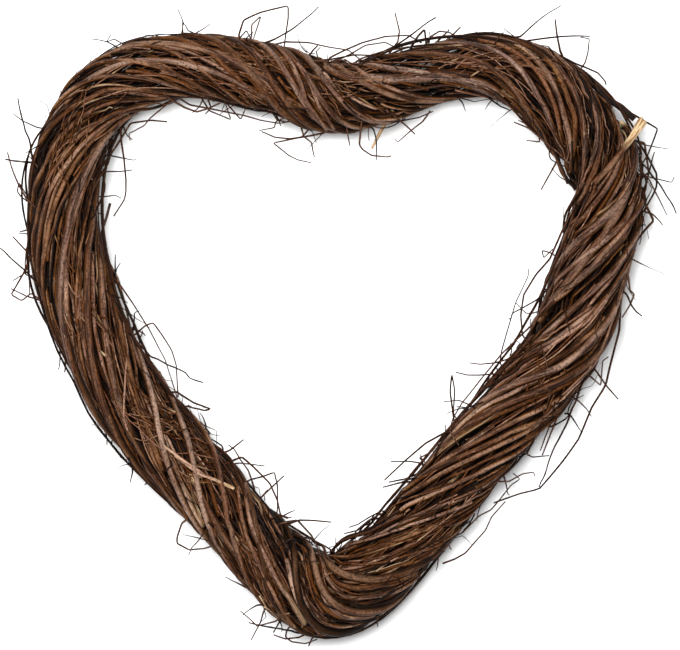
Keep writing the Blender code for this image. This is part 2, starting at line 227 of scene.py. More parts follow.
# Twigs that stand out of the bundle: thickness, then places across and up from the wreath's middle, all in
# millimetres. Each starts in the bundle and is straight between its joints.
STRAYS = (
    # over the left lobe and the cleft
    (1.5, (-66, 178), (-66, 186), (-63, 195), (-52, 200), (-34, 204), (-34, 196), (-37, 175)),
    (1.2, (-60, 178), (-58, 186), (-58, 193), (-52, 199), (-57, 184)),
    (1.2, (-70, 178), (-61, 188), (-58, 182)),
    (1.3, (-48, 178), (-36, 181), (-20, 180), (-7, 177), (5, 175), (11, 170), (19, 164)),
    (1.5, (-12, 160), (-7, 171), (3, 176), (14, 181), (29, 185), (44, 186), (53, 181)),
    (1.3, (-14, 164), (6, 173), (16, 179), (29, 181), (41, 175)),
    (1.5, (-6, 156), (0, 161), (13, 170), (26, 174), (44, 177)),
    (1.3, (-34, 168), (-7, 169), (9, 172), (42, 171)),
    (1.5, (28, 168), (33, 176), (37, 181), (38, 188), (35, 200)),
    (1.7, (-34, 168), (-29, 170), (-20, 174), (-18, 177), (-15, 180)),
    (1.1, (-13, 165), (-16, 175), (-13, 178)),
    (1.8, (44, 173), (46, 178), (50, 184), (54, 188), (55, 178)),
    (1.5, (54, 178), (59, 185), (64, 188), (71, 187), (76, 182)),
    (1.6, (66, 180), (72, 185), (78, 191)),
    (1.0, (122, 178), (116, 183), (106, 191)),
    (1.0, (-102, 184), (-102, 194), (-105, 201)),
    (1.2, (-132, 180), (-140, 181), (-150, 175), (-160, 171), (-166, 164), (-172, 156), (-168, 150)),
    (1.0, (-138, 178), (-147, 183), (-152, 181), (-149, 186)),
    # right shoulder
    (1.7, (144, 170), (142, 175), (140, 186), (139, 196)),
    (1.2, (152, 160), (156, 164), (159, 168), (161, 175), (162, 184), (156, 185)),
    (1.6, (138, 172), (142, 172), (150, 168), (158, 165), (167, 161), (172, 155), (172, 153)),
    (1.6, (180, 139), (188, 136), (206, 125), (203, 117), (199, 107), (194, 100)),
    (1.7, (188, 120), (194, 116), (201, 105), (206, 96), (206, 88), (204, 83), (198, 72), (190, 62)),
    (1.5, (190, 118), (198, 116), (201, 97), (197, 94), (194, 88), (198, 85), (192, 80)),
    (1.1, (190, 96), (198, 94), (215, 90), (217, 94)),
    (1.2, (192, 98), (199, 92), (204, 82), (211, 68)),
    (2.0, (190, 94), (195, 87), (198, 75), (203, 65), (198, 60), (194, 55), (185, 42), (180, 34)),
    (1.6, (148, 102), (141, 109), (130, 118), (122, 125), (112, 129)),
    (1.3, (134, 128), (128, 124), (129, 116), (120, 117)),
    (1.6, (148, 112), (143, 107), (140, 103), (130, 85)),
    # right side and lower right
    (1.7, (152, 76), (147, 66), (142, 56), (135, 40), (126, 30), (118, 17), (116, 4), (117, -9), (122, -16)),
    (1.2, (142, 40), (137, 44), (131, 46), (132, 41), (138, 47)),
    (1.1, (108, -36), (103, -27), (104, -20), (107, -9), (113, 12), (121, 29), (121, 34)),
    (1.0, (134, 8), (124, 5), (120, 5), (113, 12)),
    (1.3, (116, -22), (107, -25), (100, -27), (90, -28), (83, -27)),
    (1.3, (112, -36), (102, -34), (90, -35), (82, -35), (74, -33)),
    (1.3, (82, -76), (74, -68), (71, -46), (72, -34), (74, -45), (73, -60), (80, -72)),
    (1.3, (124, -2), (104, -21), (90, -38), (78, -53), (72, -63), (70, -71), (76, -80)),
    (1.1, (92, -60), (85, -55), (76, -51), (66, -52)),
    (1.6, (74, -72), (68, -72), (55, -79), (42, -90), (28, -103)),
    (1.3, (60, -100), (56, -95), (51, -92), (45, -91), (32, -91)),
    (1.3, (60, -96), (51, -89), (59, -85), (63, -80), (70, -82)),
    (1.6, (58, -100), (51, -99), (42, -103), (31, -105)),
    (1.5, (56, -104), (48, -104), (38, -105), (27, -108)),
    (1.7, (176, 20), (182, 12), (181, -6), (175, -29), (172, -42), (163, -56), (155, -76), (144, -91),
     (135, -102), (129, -109), (116, -112), (99, -118)),
    (1.5, (158, -26), (165, -32), (172, -42), (180, -51)),
    (1.2, (160, -34), (169, -42), (170, -26), (174, -23)),
    (1.1, (148, -48), (154, -52), (159, -57), (162, -62)),
    (1.5, (134, -56), (140, -61), (135, -74), (130, -87)),
    (1.3, (132, -58), (137, -64), (132, -76), (129, -84)),
    (1.2, (122, -70), (125, -77), (120, -86), (124, -88), (135, -87)),
    (1.3, (94, -100), (103, -104), (109, -104), (118, -99), (125, -98), (126, -101)),
    (1.2, (60, -146), (79, -138), (90, -127), (98, -123), (104, -116), (111, -107), (117, -103), (112, -99)),
    (1.3, (66, -158), (74, -155), (81, -151), (87, -144), (94, -136), (98, -127), (107, -117)),
    (1.6, (180, 34), (186, 29), (187, 20), (190, 17), (187, 10), (182, 2)),
    (1.5, (180, 22), (185, 17), (188, 10), (191, 6), (195, 3)),
    # left side
    (1.1, (-190, 124), (-196, 125), (-205, 129), (-212, 134)),
    (1.8, (-192, 102), (-201, 103), (-213, 104), (-218, 105)),
    (1.5, (-196, 72), (-203, 79), (-208, 88), (-211, 95), (-213, 101), (-215, 109)),
    (1.2, (-190, 70), (-197, 73), (-204, 78), (-208, 81), (-210, 84), (-209, 90), (-204, 82)),
    (1.6, (-196, 62), (-205, 59), (-209, 58)),
    (1.6, (-192, 30), (-200, 40), (-202, 43), (-213, 55)),
    (1.2, (-192, 28), (-199, 29), (-205, 30), (-205, 38), (-204, 48)),
    (1.5, (-192, 48), (-201, 41), (-205, 31), (-213, 17), (-206, 13), (-200, 18), (-194, 14)),
    (1.2, (-194, 44), (-201, 42), (-205, 31), (-213, 26)),
    (1.2, (-190, 12), (-196, 14), (-203, 16), (-213, 21)),
    (1.1, (-194, 40), (-203, 43), (-203, 17)),
    # inside the left side
    (1.7, (-160, 96), (-155, 101), (-145, 116), (-137, 129), (-124, 131), (-113, 130)),
    (1.2, (-108, 146), (-112, 142), (-124, 132), (-128, 127), (-138, 122), (-137, 117)),
    (1.5, (-146, 136), (-143, 129), (-143, 118), (-141, 105), (-140, 92), (-140, 84), (-141, 79), (-148, 68)),
    (1.2, (-162, 97), (-154, 97), (-143, 97), (-135, 98)),
    (1.1, (-162, 81), (-155, 81), (-147, 82), (-143, 80)),
    (2.0, (-150, 77), (-153, 66), (-156, 56), (-153, 42), (-145, 28), (-140, 10), (-137, -3), (-136, -14)),
    (1.2, (-160, 32), (-154, 31), (-150, 31), (-143, 23), (-134, 10), (-124, -6), (-114, -25), (-106, -50)),
    (1.2, (-158, 22), (-152, 23), (-147, 26), (-145, 16), (-148, 14), (-140, 0), (-136, -8)),
    (1.3, (-140, -12), (-134, -9), (-127, -3), (-122, -1), (-117, -8), (-110, -19), (-107, -29), (-106, -50)),
    (1.5, (-110, -46), (-106, -46), (-95, -53), (-84, -57), (-88, -58), (-101, -55), (-106, -60)),
    (1.6, (-84, -88), (-77, -86), (-72, -84), (-63, -77)),
    (1.3, (-56, -110), (-58, -103), (-60, -97), (-65, -90), (-69, -83), (-73, -80)),
    (1.5, (-74, -92), (-64, -88), (-57, -94), (-46, -105), (-41, -116), (-39, -126), (-34, -128)),
    (1.3, (-66, -108), (-59, -103), (-51, -101), (-43, -98), (-41, -107), (-41, -123), (-44, -130)),
    (1.5, (-56, -120), (-51, -114), (-37, -101)),
    (1.2, (-76, -94), (-66, -92), (-49, -94)),
    (1.8, (-46, -136), (-39, -131), (-28, -129), (-19, -139), (-14, -149), (-12, -156)),
    (1.6, (-46, -134), (-38, -133), (-27, -129), (-20, -129), (-6, -130)),
    (1.5, (-44, -138), (-36, -136), (-27, -140), (-20, -141), (-10, -146), (-4, -150), (4, -156)),
    (1.3, (30, -136), (27, -129), (25, -124), (19, -127), (11, -132), (5, -134)),
    (1.5, (28, -128), (20, -129), (11, -136), (2, -138)),
    (1.3, (2, -152), (6, -145), (10, -136), (18, -129), (28, -124)),
    # outside the left side and the tip
    (1.5, (-96, -126), (-103, -131), (-106, -140), (-106, -144), (-98, -148), (-88, -147), (-76, -143)),
    (1.1, (-88, -136), (-92, -142), (-96, -146), (-98, -151)),
    (1.5, (-84, -138), (-82, -144), (-78, -151)),
    (1.5, (-70, -144), (-73, -149), (-73, -159), (-69, -164), (-65, -167), (-58, -168)),
    (1.3, (-34, -188), (-42, -194), (-54, -197), (-58, -193), (-65, -187)),
    (1.3, (-46, -182), (-50, -188), (-52, -195), (-58, -206)),
    (1.3, (-34, -192), (-40, -196), (-44, -203)),
    (1.5, (-14, -200), (-21, -203), (-27, -206), (-36, -207), (-44, -204)),
    (1.3, (-30, -194), (-35, -201), (-36, -205), (-32, -208), (-23, -209), (-15, -206)),
    (1.5, (-12, -200), (-16, -204), (-19, -207), (-21, -212)),
    (1.1, (20, -186), (23, -191), (24, -198)),
    # under the cleft
    (1.2, (-30, 134), (-42, 129), (-43, 125), (-53, 123)),
    (1.5, (-4, 128), (-10, 123), (-19, 121), (-25, 120), (-33, 119), (-43, 120), (-52, 124)),
    (1.3, (-20, 126), (-25, 120), (-44, 116), (-34, 108), (-28, 105), (-19, 103)),
    (1.3, (-26, 127), (-24, 120), (-19, 116), (-18, 110), (-17, 106)),
    (1.1, (3, 130), (4, 124), (5, 118), (6, 113)),
    (1.5, (14, 132), (13, 125), (12, 114), (14, 111), (20, 107), (31, 106), (33, 107)),
    (1.2, (58, 136), (53, 129), (45, 123), (37, 116), (35, 118)),
    (1.5, (30, 136), (36, 131), (42, 126), (48, 120)),
    (1.2, (30, 128), (35, 129), (51, 132), (60, 136)),
    (1.7, (-116, 148), (-111, 144), (-101, 138), (-93, 135), (-86, 137), (-77, 141)),
    (1.3, (-104, 144), (-98, 140), (-82, 137), (-62, 133), (-52, 130), (-40, 128), (-28, 130)),
    (1.2, (-86, 144), (-84, 138), (-88, 134)),
    (1.2, (-90, 144), (-85, 136), (-71, 130), (-75, 142)),
    (1.2, (-78, 146), (-65, 131), (-61, 140)),
)

# Bare stick that hangs from the inner side of the cleft, given in the same way
BARE_STICK = (3.2, (34, 137), (28, 127), (20, 112))

# Split stub on the right shoulder: thickness, then places across, up and over the floor, in millimetres
SHOULDER_STUB = (6.4, (194, 129, 43), (188, 120, 50), (181, 110, 55), (172, 99, 58), (162, 88, 55))
STUB_BARE = (0.28, 0.48)  # shares of its length between which its bare wood passes into bark
STUB_WEDGE = ((0, 0.45, 0.65), (1.3, 0.75, 1.0))  # shares of its length, and its thickness there as a share

# Canes and twigs laid one by one over the others: thickness in millimetres, tone, rust, how bare the first
# and the last end is, and places as stations and shares of the way across, from -1 outside to 1 inside. A
# share beyond that stands off the bundle.
HAND_LAID = (
    (6.0, 0.46, 0.0, 0.0, 0.0, (0.985, -0.62), (0.005, -0.36), (0.046, -0.05), (0.075, 0.42)),
    (5.4, 0.34, 0.1, 0.0, 0.0, (0.106, -0.95), (0.125, -1.0), (0.150, -1.05), (0.1665, -1.28)),
    (3.4, 0.30, 0.0, 0.0, 0.0, (0.112, 0.94), (0.135, 1.0), (0.160, 1.08), (0.178, 1.10), (0.196, 1.0)),
    (2.6, 0.42, 0.3, 0.0, 0.0, (0.125, 0.90), (0.150, 1.0), (0.172, 1.05), (0.190, 1.05)),
    (5.6, 0.45, 0.0, 0.0, 0.5, (0.062, -1.0), (0.082, -0.98), (0.100, -0.80), (0.115, -0.42)),
    (4.4, 0.55, 0.2, 0.0, 0.0, (0.205, -0.95), (0.213, -0.70), (0.238, 0.0), (0.263, 0.50), (0.275, 0.85)),
    (2.4, 0.70, 0.2, 0.0, 0.0, (0.230, -0.98), (0.270, -0.86), (0.310, -0.72), (0.345, -0.60)),
    (2.2, 0.55, 0.1, 0.0, 0.0, (0.238, -0.90), (0.280, -0.80), (0.320, -0.62)),
    (1.5, 0.85, 0.2, 0.0, 0.8, (0.452, -0.12), (0.458, -0.04), (0.465, 0.0)),
    (4.0, 0.62, 0.35, 0.3, 0.0, (0.508, -0.80), (0.520, -0.42), (0.555, 0.15), (0.574, 0.70), (0.581, 0.95)),
    (3.4, 0.52, 0.4, 0.0, 0.0, (0.512, -0.92), (0.528, -0.52), (0.560, 0.02), (0.583, 0.70)),
    (1.4, 0.90, 0.2, 0.9, 0.4, (0.528, -0.98), (0.522, -0.86), (0.517, -0.70)),
    (1.2, 0.90, 0.2, 0.7, 0.5, (0.532, -0.86), (0.526, -0.92), (0.520, -0.96)),
    (2.6, 0.95, 0.2, 0.9, 0.2, (0.584, 0.62), (0.594, 0.42), (0.602, 0.25), (0.616, 0.12), (0.632, 0.0)),
    (1.8, 0.90, 0.3, 0.6, 0.2, (0.588, 0.50), (0.604, 0.18), (0.622, 0.04)),
    (1.6, 0.72, 0.5, 0.0, 0.0, (0.650, -0.42), (0.657, -0.30), (0.672, 0.20), (0.689, 0.70), (0.708, 0.98)),
    (1.4, 0.80, 0.2, 0.4, 0.0, (0.874, -0.96), (0.880, -0.80), (0.888, -0.60)),
    (5.0, 0.46, 0.1, 0.0, 0.0, (0.872, -0.98), (0.887, -0.80), (0.915, -0.42), (0.940, -0.10), (0.962, 0.20)),
    (4.2, 0.58, 0.2, 0.0, 0.0, (0.954, -0.98), (0.966, -0.50), (0.979, 0.30), (0.991, 0.95)),
    (3.6, 0.55, 0.2, 0.0, 0.0, (0.970, -0.55), (0.977, -0.30), (0.987, 0.40), (0.996, 0.95)),
)

# How steeply the twigs of each kind wind as a share of the canes, and the chance of each. A negative one
# slants the other way.
INNER_SLANTS = ((0.25, 0.45, 0.7, 1.0, -0.3), (0.2, 0.3, 0.25, 0.15, 0.1))
BED_SLANTS = ((0.35, 0.6, 0.85, -0.25), (0.3, 0.4, 0.25, 0.05))
SURFACE_SLANTS = ((0.5, 0.8, 1.0, 1.25, -0.4), (0.2, 0.25, 0.32, 0.2, 0.03))
ARCHED_SLANTS = ((0.15, 0.35, 0.7, 1.0), (0.25, 0.3, 0.25, 0.2))
WISP_SLANTS = (0.3, 0.7, 1.0, -0.5)

# Diameters of the filling canes as shares of the typical one, and the chance of each
FILLING_WIDTHS = ((0.5, 0.7, 1.0, 1.3), (0.3, 0.3, 0.25, 0.15))
QUARTERS = ("right_lobe", "right_side", "left_side", "left_lobe")


class WreathTwigs(bpy.types.PropertyGroup):
    inner: IntProperty(name="Inner Twigs", description="Twigs of the inner bundle", default=300)
    bed: IntProperty(name="Bed Twigs", description="Thin twigs that show between the canes", default=560)
    under: IntProperty(name="Under Canes", description="Slim canes under the main ones", default=46)
    filling: IntProperty(name="Filling Canes", description="Canes laid into the gaps", default=74)
    surface: IntProperty(name="Surface Twigs", description="Thin twigs over the canes", default=460)
    arched: IntProperty(name="Arched Twigs", description="Twigs that arch off the two edges", default=46)
    wisps: IntProperty(name="Wisps", description="Fine ends that stand out of the bundle", default=280)
    seed: IntProperty(name="Seed", description="Start of the random placing", default=7)


class WreathSizes(bpy.types.PropertyGroup):
    inner_twig: FloatProperty(
        name="Inner Twig", description="Typical diameter of an inner twig", default=0.0023, unit="LENGTH"
    )
    filling_cane: FloatProperty(
        name="Filling Cane", description="Typical diameter of a filling cane", default=0.0035, unit="LENGTH"
    )
    bed_twig: FloatProperty(
        name="Bed Twig", description="Typical diameter of a bed twig", default=0.0019, unit="LENGTH"
    )
    surface_twig: FloatProperty(
        name="Surface Twig", description="Typical diameter of a surface twig", default=0.0017, unit="LENGTH"
    )
    wisp: FloatProperty(name="Wisp", description="Typical diameter of a wisp", default=0.00095, unit="LENGTH")
    camera_height: FloatProperty(
        name="Camera Height", description="Height of the camera over the floor", default=1.6, unit="LENGTH"
    )


class WreathColours(bpy.types.PropertyGroup):
    floor: FloatVectorProperty(
        name="Floor", description="Colour of the floor", subtype="COLOR", default=(0.95, 0.95, 0.95), size=3
    )
    key: FloatProperty(
        name="Key Light", description="Strength of the soft key light", default=45.0, unit="POWER"
    )
    sky: FloatProperty(name="Sky", description="Strength of the even light from all round", default=0.13)


def linear(hex_colour):
    """Linear colour of an sRGB hex value."""
    channels = [int(hex_colour[i : i + 2], 16) / 255 for i in (1, 3, 5)]
    return (*(c / 12.92 if c <= 0.04045 else ((c + 0.055) / 1.055) ** 2.4 for c in channels), 1.0)


def heart_table():
    """The bundle along its middle line: x, y, radius, outward direction, and the rates of x, y and direction.

    A closed cubic curve runs through HEART_LINE. The outward direction is at right angles to it, averaged
    with a bell curve of width BEND_SPREAD so that sharp bends fan out.
    """
    line = np.array(HEART_LINE)
    values = np.column_stack([
        line[:, 0] * (HEART_WIDTH - BUNDLE_THICKNESS),
        line[:, 1] * (HEART_HEIGHT - BUNDLE_THICKNESS),
        line[:, 2] * BUNDLE_THICKNESS / 2,
    ])
    count = len(values)
    ahead, behind = np.roll(values, -1, 0), np.roll(values, 1, 0)
    system = 4 * np.eye(count) + np.roll(np.eye(count), 1, 0) + np.roll(np.eye(count), -1, 0)
    second = np.linalg.solve(system, 6 * (ahead - 2 * values + behind))
    station = np.arange(TABLE_STATIONS) / TABLE_STATIONS
    first = np.floor(station * count).astype(int)
    t = (station * count - first)[:, None]
    after = (first + 1) % count
    bend = (2 - t) * second[first] + (1 + t) * second[after]
    at = values[first] * (1 - t) + values[after] * t - t * (1 - t) * bend / 6
    along = np.roll(at, -1, 0) - np.roll(at, 1, 0)
    outward = np.stack([-along[:, 1], along[:, 0]], 1)
    outward /= np.linalg.norm(outward, axis=1)[:, None]
    weight = np.exp(-2 * (np.minimum(station, 1 - station) / BEND_SPREAD) ** 2)
    outward = np.fft.ifft(np.fft.fft(outward, axis=0) * np.fft.fft(weight)[:, None], axis=0).real
    outward /= np.linalg.norm(outward, axis=1)[:, None]
    table = np.column_stack([at, outward])
    rate = (np.roll(table, -1, 0) - np.roll(table, 1, 0)) * TABLE_STATIONS / 2
    return np.column_stack([table, rate[:, :2], rate[:, 3:5]])


HEART = heart_table()
HEART_LENGTH = float(np.linalg.norm(HEART[:, 5:7], axis=1).mean())


def heart_at(station):
    """The nine values of the bundle's table at each station, in proportion between its rows."""
    place = np.mod(station, 1.0) * TABLE_STATIONS
    first = np.floor(place).astype(int) % TABLE_STATIONS
    t = (place - np.floor(place))[..., None]
    return HEART[first] * (1 - t) + HEART[(first + 1) % TABLE_STATIONS] * t


def spokes(station, turn):
    """Centre of the bundle at each station, and the direction away from it at each angle in radians."""
    at = heart_at(station)
    centre = np.empty(at.shape[:-1] + (3,))
    centre[..., 0] = at[..., 0] + WREATH_ORIGIN[0]
    centre[..., 1] = at[..., 1] + WREATH_ORIGIN[1]
    centre[..., 2] = MIDDLE_HEIGHT
    away = np.empty_like(centre)
    away[..., :2] = at[..., 3:5] * np.cos(turn)[..., None]
    away[..., 2] = np.sin(turn)
    return centre, away


def winding_table():
    """Angle that a cane has turned through from station -1 to 2, in degrees, and those stations."""
    station = np.linspace(-1, 2, 3 * TABLE_STATIONS + 1)
    knots = np.array(WINDING)
    per_turn = np.interp(station, knots[:, 0], knots[:, 1], period=1.0)
    rate = 180 / per_turn
    turned = np.concatenate([[0], np.cumsum((rate[1:] + rate[:-1]) / 2 * np.diff(station))])
    return station, turned


WOUND_STATION, WOUND_DEGREES = winding_table()


def wound_path(start, angle, turn, steepness, samples):
    """Stations and degrees of a cane that follows the wreath's winding, from a station and an angle.

    Its steepness scales how fast it turns. A negative one slants the other way.
    """
    degrees = np.linspace(0, turn, samples)
    first = np.interp(start, WOUND_STATION, WOUND_DEGREES)
    station = np.interp(first + degrees / abs(steepness), WOUND_DEGREES, WOUND_STATION)
    return station, angle + degrees * math.copysign(1, steepness)


def bell(reach):
    """Weights of a bell curve that reaches some samples each way, with a sum of 1."""
    weights = np.hanning(2 * reach + 3)[1:-1]
    return weights / weights.sum()


def eased(values, reach):
    """Values along a path, each averaged with its neighbours by a bell curve."""
    return np.convolve(np.pad(values, reach, mode="edge"), bell(reach), mode="valid")


def lengths_along(points):
    """How far along a path each of its points is."""
    return np.concatenate([[0], np.cumsum(np.linalg.norm(np.diff(points, axis=0), axis=1))])


def between(at, gone, values):
    """Rows of values at other lengths along a path, in proportion."""
    return np.stack([np.interp(at, gone, column) for column in values.T], 1)


class LaidTwigs:
    """How far out the laid twigs reach, on a grid of stations and angles round the bundle."""

    def __init__(self):
        station = np.arange(GRID_STATIONS) / GRID_STATIONS
        radius = heart_at(station)[:, 2] - CANE_COVER - CORE_DEPTH
        self.top = np.repeat(radius[:, None], GRID_ANGLES, 1)

    def cells(self, station, turn):
        """The grid's cells that are nearest to stations and angles in radians."""
        i = np.rint(np.mod(station, 1.0) * GRID_STATIONS).astype(int) % GRID_STATIONS
        j = np.rint(np.mod(turn / (2 * np.pi), 1.0) * GRID_ANGLES).astype(int) % GRID_ANGLES
        return i, j

    def footprint(self, station, turn, radius):
        """Cells under a cane, and the height of its round side over each, on lines across the cane."""
        distance = self.top[self.cells(station, turn)] + radius
        at = heart_at(station)
        swing = distance * np.cos(turn)
        ground = np.hypot(at[:, 5] + at[:, 7] * swing, at[:, 6] + at[:, 8] * swing)
        ground = np.maximum(ground, LEAST_GROUND * HEART_LENGTH)
        along = np.gradient(station) * ground
        around = np.gradient(turn) * distance
        length = np.hypot(along, around) + 1e-12
        lines = 2 * max(2, math.ceil(float(radius.max()) / FOOTPRINT_STEP)) + 1
        across = np.linspace(-1, 1, lines)[None] * radius[:, None]
        cells = self.cells(
            station[:, None] - across * (around / length / ground)[:, None],
            turn[:, None] + across * (along / length / distance)[:, None],
        )
        arch = np.sqrt(np.maximum(radius[:, None] ** 2 - across**2, 0))
        return cells, arch

    def level(self, station, turn):
        """Mean height of the laid twigs along a path."""
        return float(self.top[self.cells(station, turn)].mean())

    def lay(self, station, turn, radius, bridge, press):
        """Distance of a cane from the middle line as it rests on the grid, which it then raises.

        The cane keeps clear of every cell under it. Over a stretch of the bridge length each way it takes
        one of the highest places, of which it presses the given share aside, and then the mean of those, so
        it rises and falls as a stiff cane does. Near the bundle's own radius it is pulled tight.
        """
        cells, arch = self.footprint(station, turn, radius)
        need = (self.top[cells] + CANE_SINK * arch).max(1)
        reach = max(1, min(int(bridge / SAMPLE), len(need) // 3))
        padded = np.pad(need, 2 * reach, mode="edge")
        window = np.lib.stride_tricks.sliding_window_view(padded, 2 * reach + 1)
        highest = np.quantile(window, 1 - press, axis=1)
        distance = np.convolve(highest, bell(reach), mode="valid")
        room = heart_at(station)[:, 2] - OUTER_GAP - radius - distance
        distance += room - PULL_SOFTNESS * np.logaddexp(0, room / PULL_SOFTNESS)
        np.maximum.at(self.top, cells, distance[:, None] + arch)
        return distance


def zigzag(rng, samples, length, spacing, swing):
    """Offset of a twig to one side: straight stretches between joints at uneven distances, eased a little."""
    joints = max(3, int(length / spacing) + 2)
    at = np.sort(rng.random(joints))
    at[0], at[-1] = 0, 1
    line = np.interp(np.linspace(0, 1, samples), at, rng.normal(size=joints) * swing)
    return eased(line, max(1, int(samples * JOINT_EASE / length)))


def laid_cane(
    laid, rng, station, degrees, diameter, rings, press=0.12, kink=0.025, taper=TIP_SHARE, stand_off=0.0
):
    """One cane on the bundle: its ring centres, ring radii and outward directions, at equal lengths.

    The path turns by small angles at the joints, as far as the kink says, is laid on the grid, and stays
    between the floor and the top of the wreath.
    """
    samples = len(station)
    round_way = math.radians(degrees[-1] - degrees[0]) * RING
    length = math.hypot((station[-1] - station[0]) * HEART_LENGTH, round_way)
    spacing = JOINT_SPACING + SPACING_PER_DIAMETER * diameter
    swing = kink * spacing
    station = station + zigzag(rng, samples, length, spacing, swing) / HEART_LENGTH
    turn = np.radians(degrees) + zigzag(rng, samples, length, spacing, swing) / RING
    radius = np.linspace(1, taper, samples) * diameter / 2
    bridge = BRIDGE + BRIDGE_PER_DIAMETER * diameter
    distance = laid.lay(station, turn, radius, bridge, press) + stand_off
    centre, away = spokes(station, turn)
    points = centre + away * distance[:, None]
    return evenly(points, radius, away, rings)


def evenly(points, radius, away, rings):
    """A path at equal lengths, kept between the floor and the top of the wreath."""
    points[:, 2] = np.clip(points[:, 2], radius + FLOOR_CLEARANCE, HIGHEST - radius)
    gone = lengths_along(points)
    at = np.linspace(0, gone[-1], rings)
    return between(at, gone, points), np.interp(at, gone, radius), between(at, gone, away), at


def free_twig(rng, start, ahead, across, length, diameter, rings, joint_bend, arc, taper=0.5):
    """A thin twig that leaves the bundle: straight stretches between joints, on a gentle arc.

    At each joint the direction turns by a random angle. The arc is how far it turns over the whole length,
    toward the given direction across.
    """
    samples = 80
    ahead = ahead / np.linalg.norm(ahead)
    side = np.cross(ahead, across)
    side /= np.linalg.norm(side) + 1e-12
    joints = max(2, int(length / FREE_SPACING))
    at = np.sort(np.concatenate([[0], rng.random(joints)]))
    turns = np.cumsum(rng.normal(size=(joints + 1, 2)) * joint_bend, 0)
    turns[0] = 0
    t = np.linspace(0, 1, samples)
    step = turns[np.searchsorted(at, t, side="right") - 1]
    swing = np.tan(np.clip(step + np.outer(t, [arc, 0]), -MOST_TURN, MOST_TURN))
    direction = ahead + swing[:, :1] * np.cross(side, ahead) + swing[:, 1:] * side
    direction /= np.linalg.norm(direction, axis=1)[:, None]
    points = start + np.concatenate([np.zeros((1, 3)), np.cumsum(direction[:-1], 0)]) * length / (samples - 1)
    radius = np.linspace(1, taper, samples) * diameter / 2
    return evenly(points, radius, np.repeat(side[None], samples, 0), rings)


def stray_twig(rng, diameter, places, rings):
    """A twig through places given across and up in millimetres: straight between joints that are eased.

    Where the places have no height, it leaves the bundle near half its height and rises or falls evenly to
    its end.
    """
    places = np.array(places) / 1000
    gone = lengths_along(places)
    samples = 200
    at = np.linspace(0, gone[-1], samples)
    reach = max(1, int(samples * STRAY_EASE / gone[-1]))
    points = np.stack([eased(column, reach) for column in between(at, gone, places).T], 1)
    if places.shape[1] == 2:
        first, rise = rng.uniform(*STRAY_START), rng.uniform(*STRAY_RISE)
        height = MIDDLE_HEIGHT + first + rise * at / gone[-1]
        height = height + zigzag(rng, samples, gone[-1], spacing=0.012, swing=0.0008)
        points = np.column_stack([points, height])
    radius = np.linspace(1, STRAY_TIP_SHARE, samples) * diameter / 2
    return evenly(points, radius, np.repeat([[0.0, 0.0, 1.0]], samples, 0), rings)


def sample_count(station, degrees):
    """Samples that a path needs, from its length along the heart and round the bundle."""
    length = math.hypot(abs(station) * HEART_LENGTH, math.radians(abs(degrees)) * RING)
    return max(12, int(length / SAMPLE))


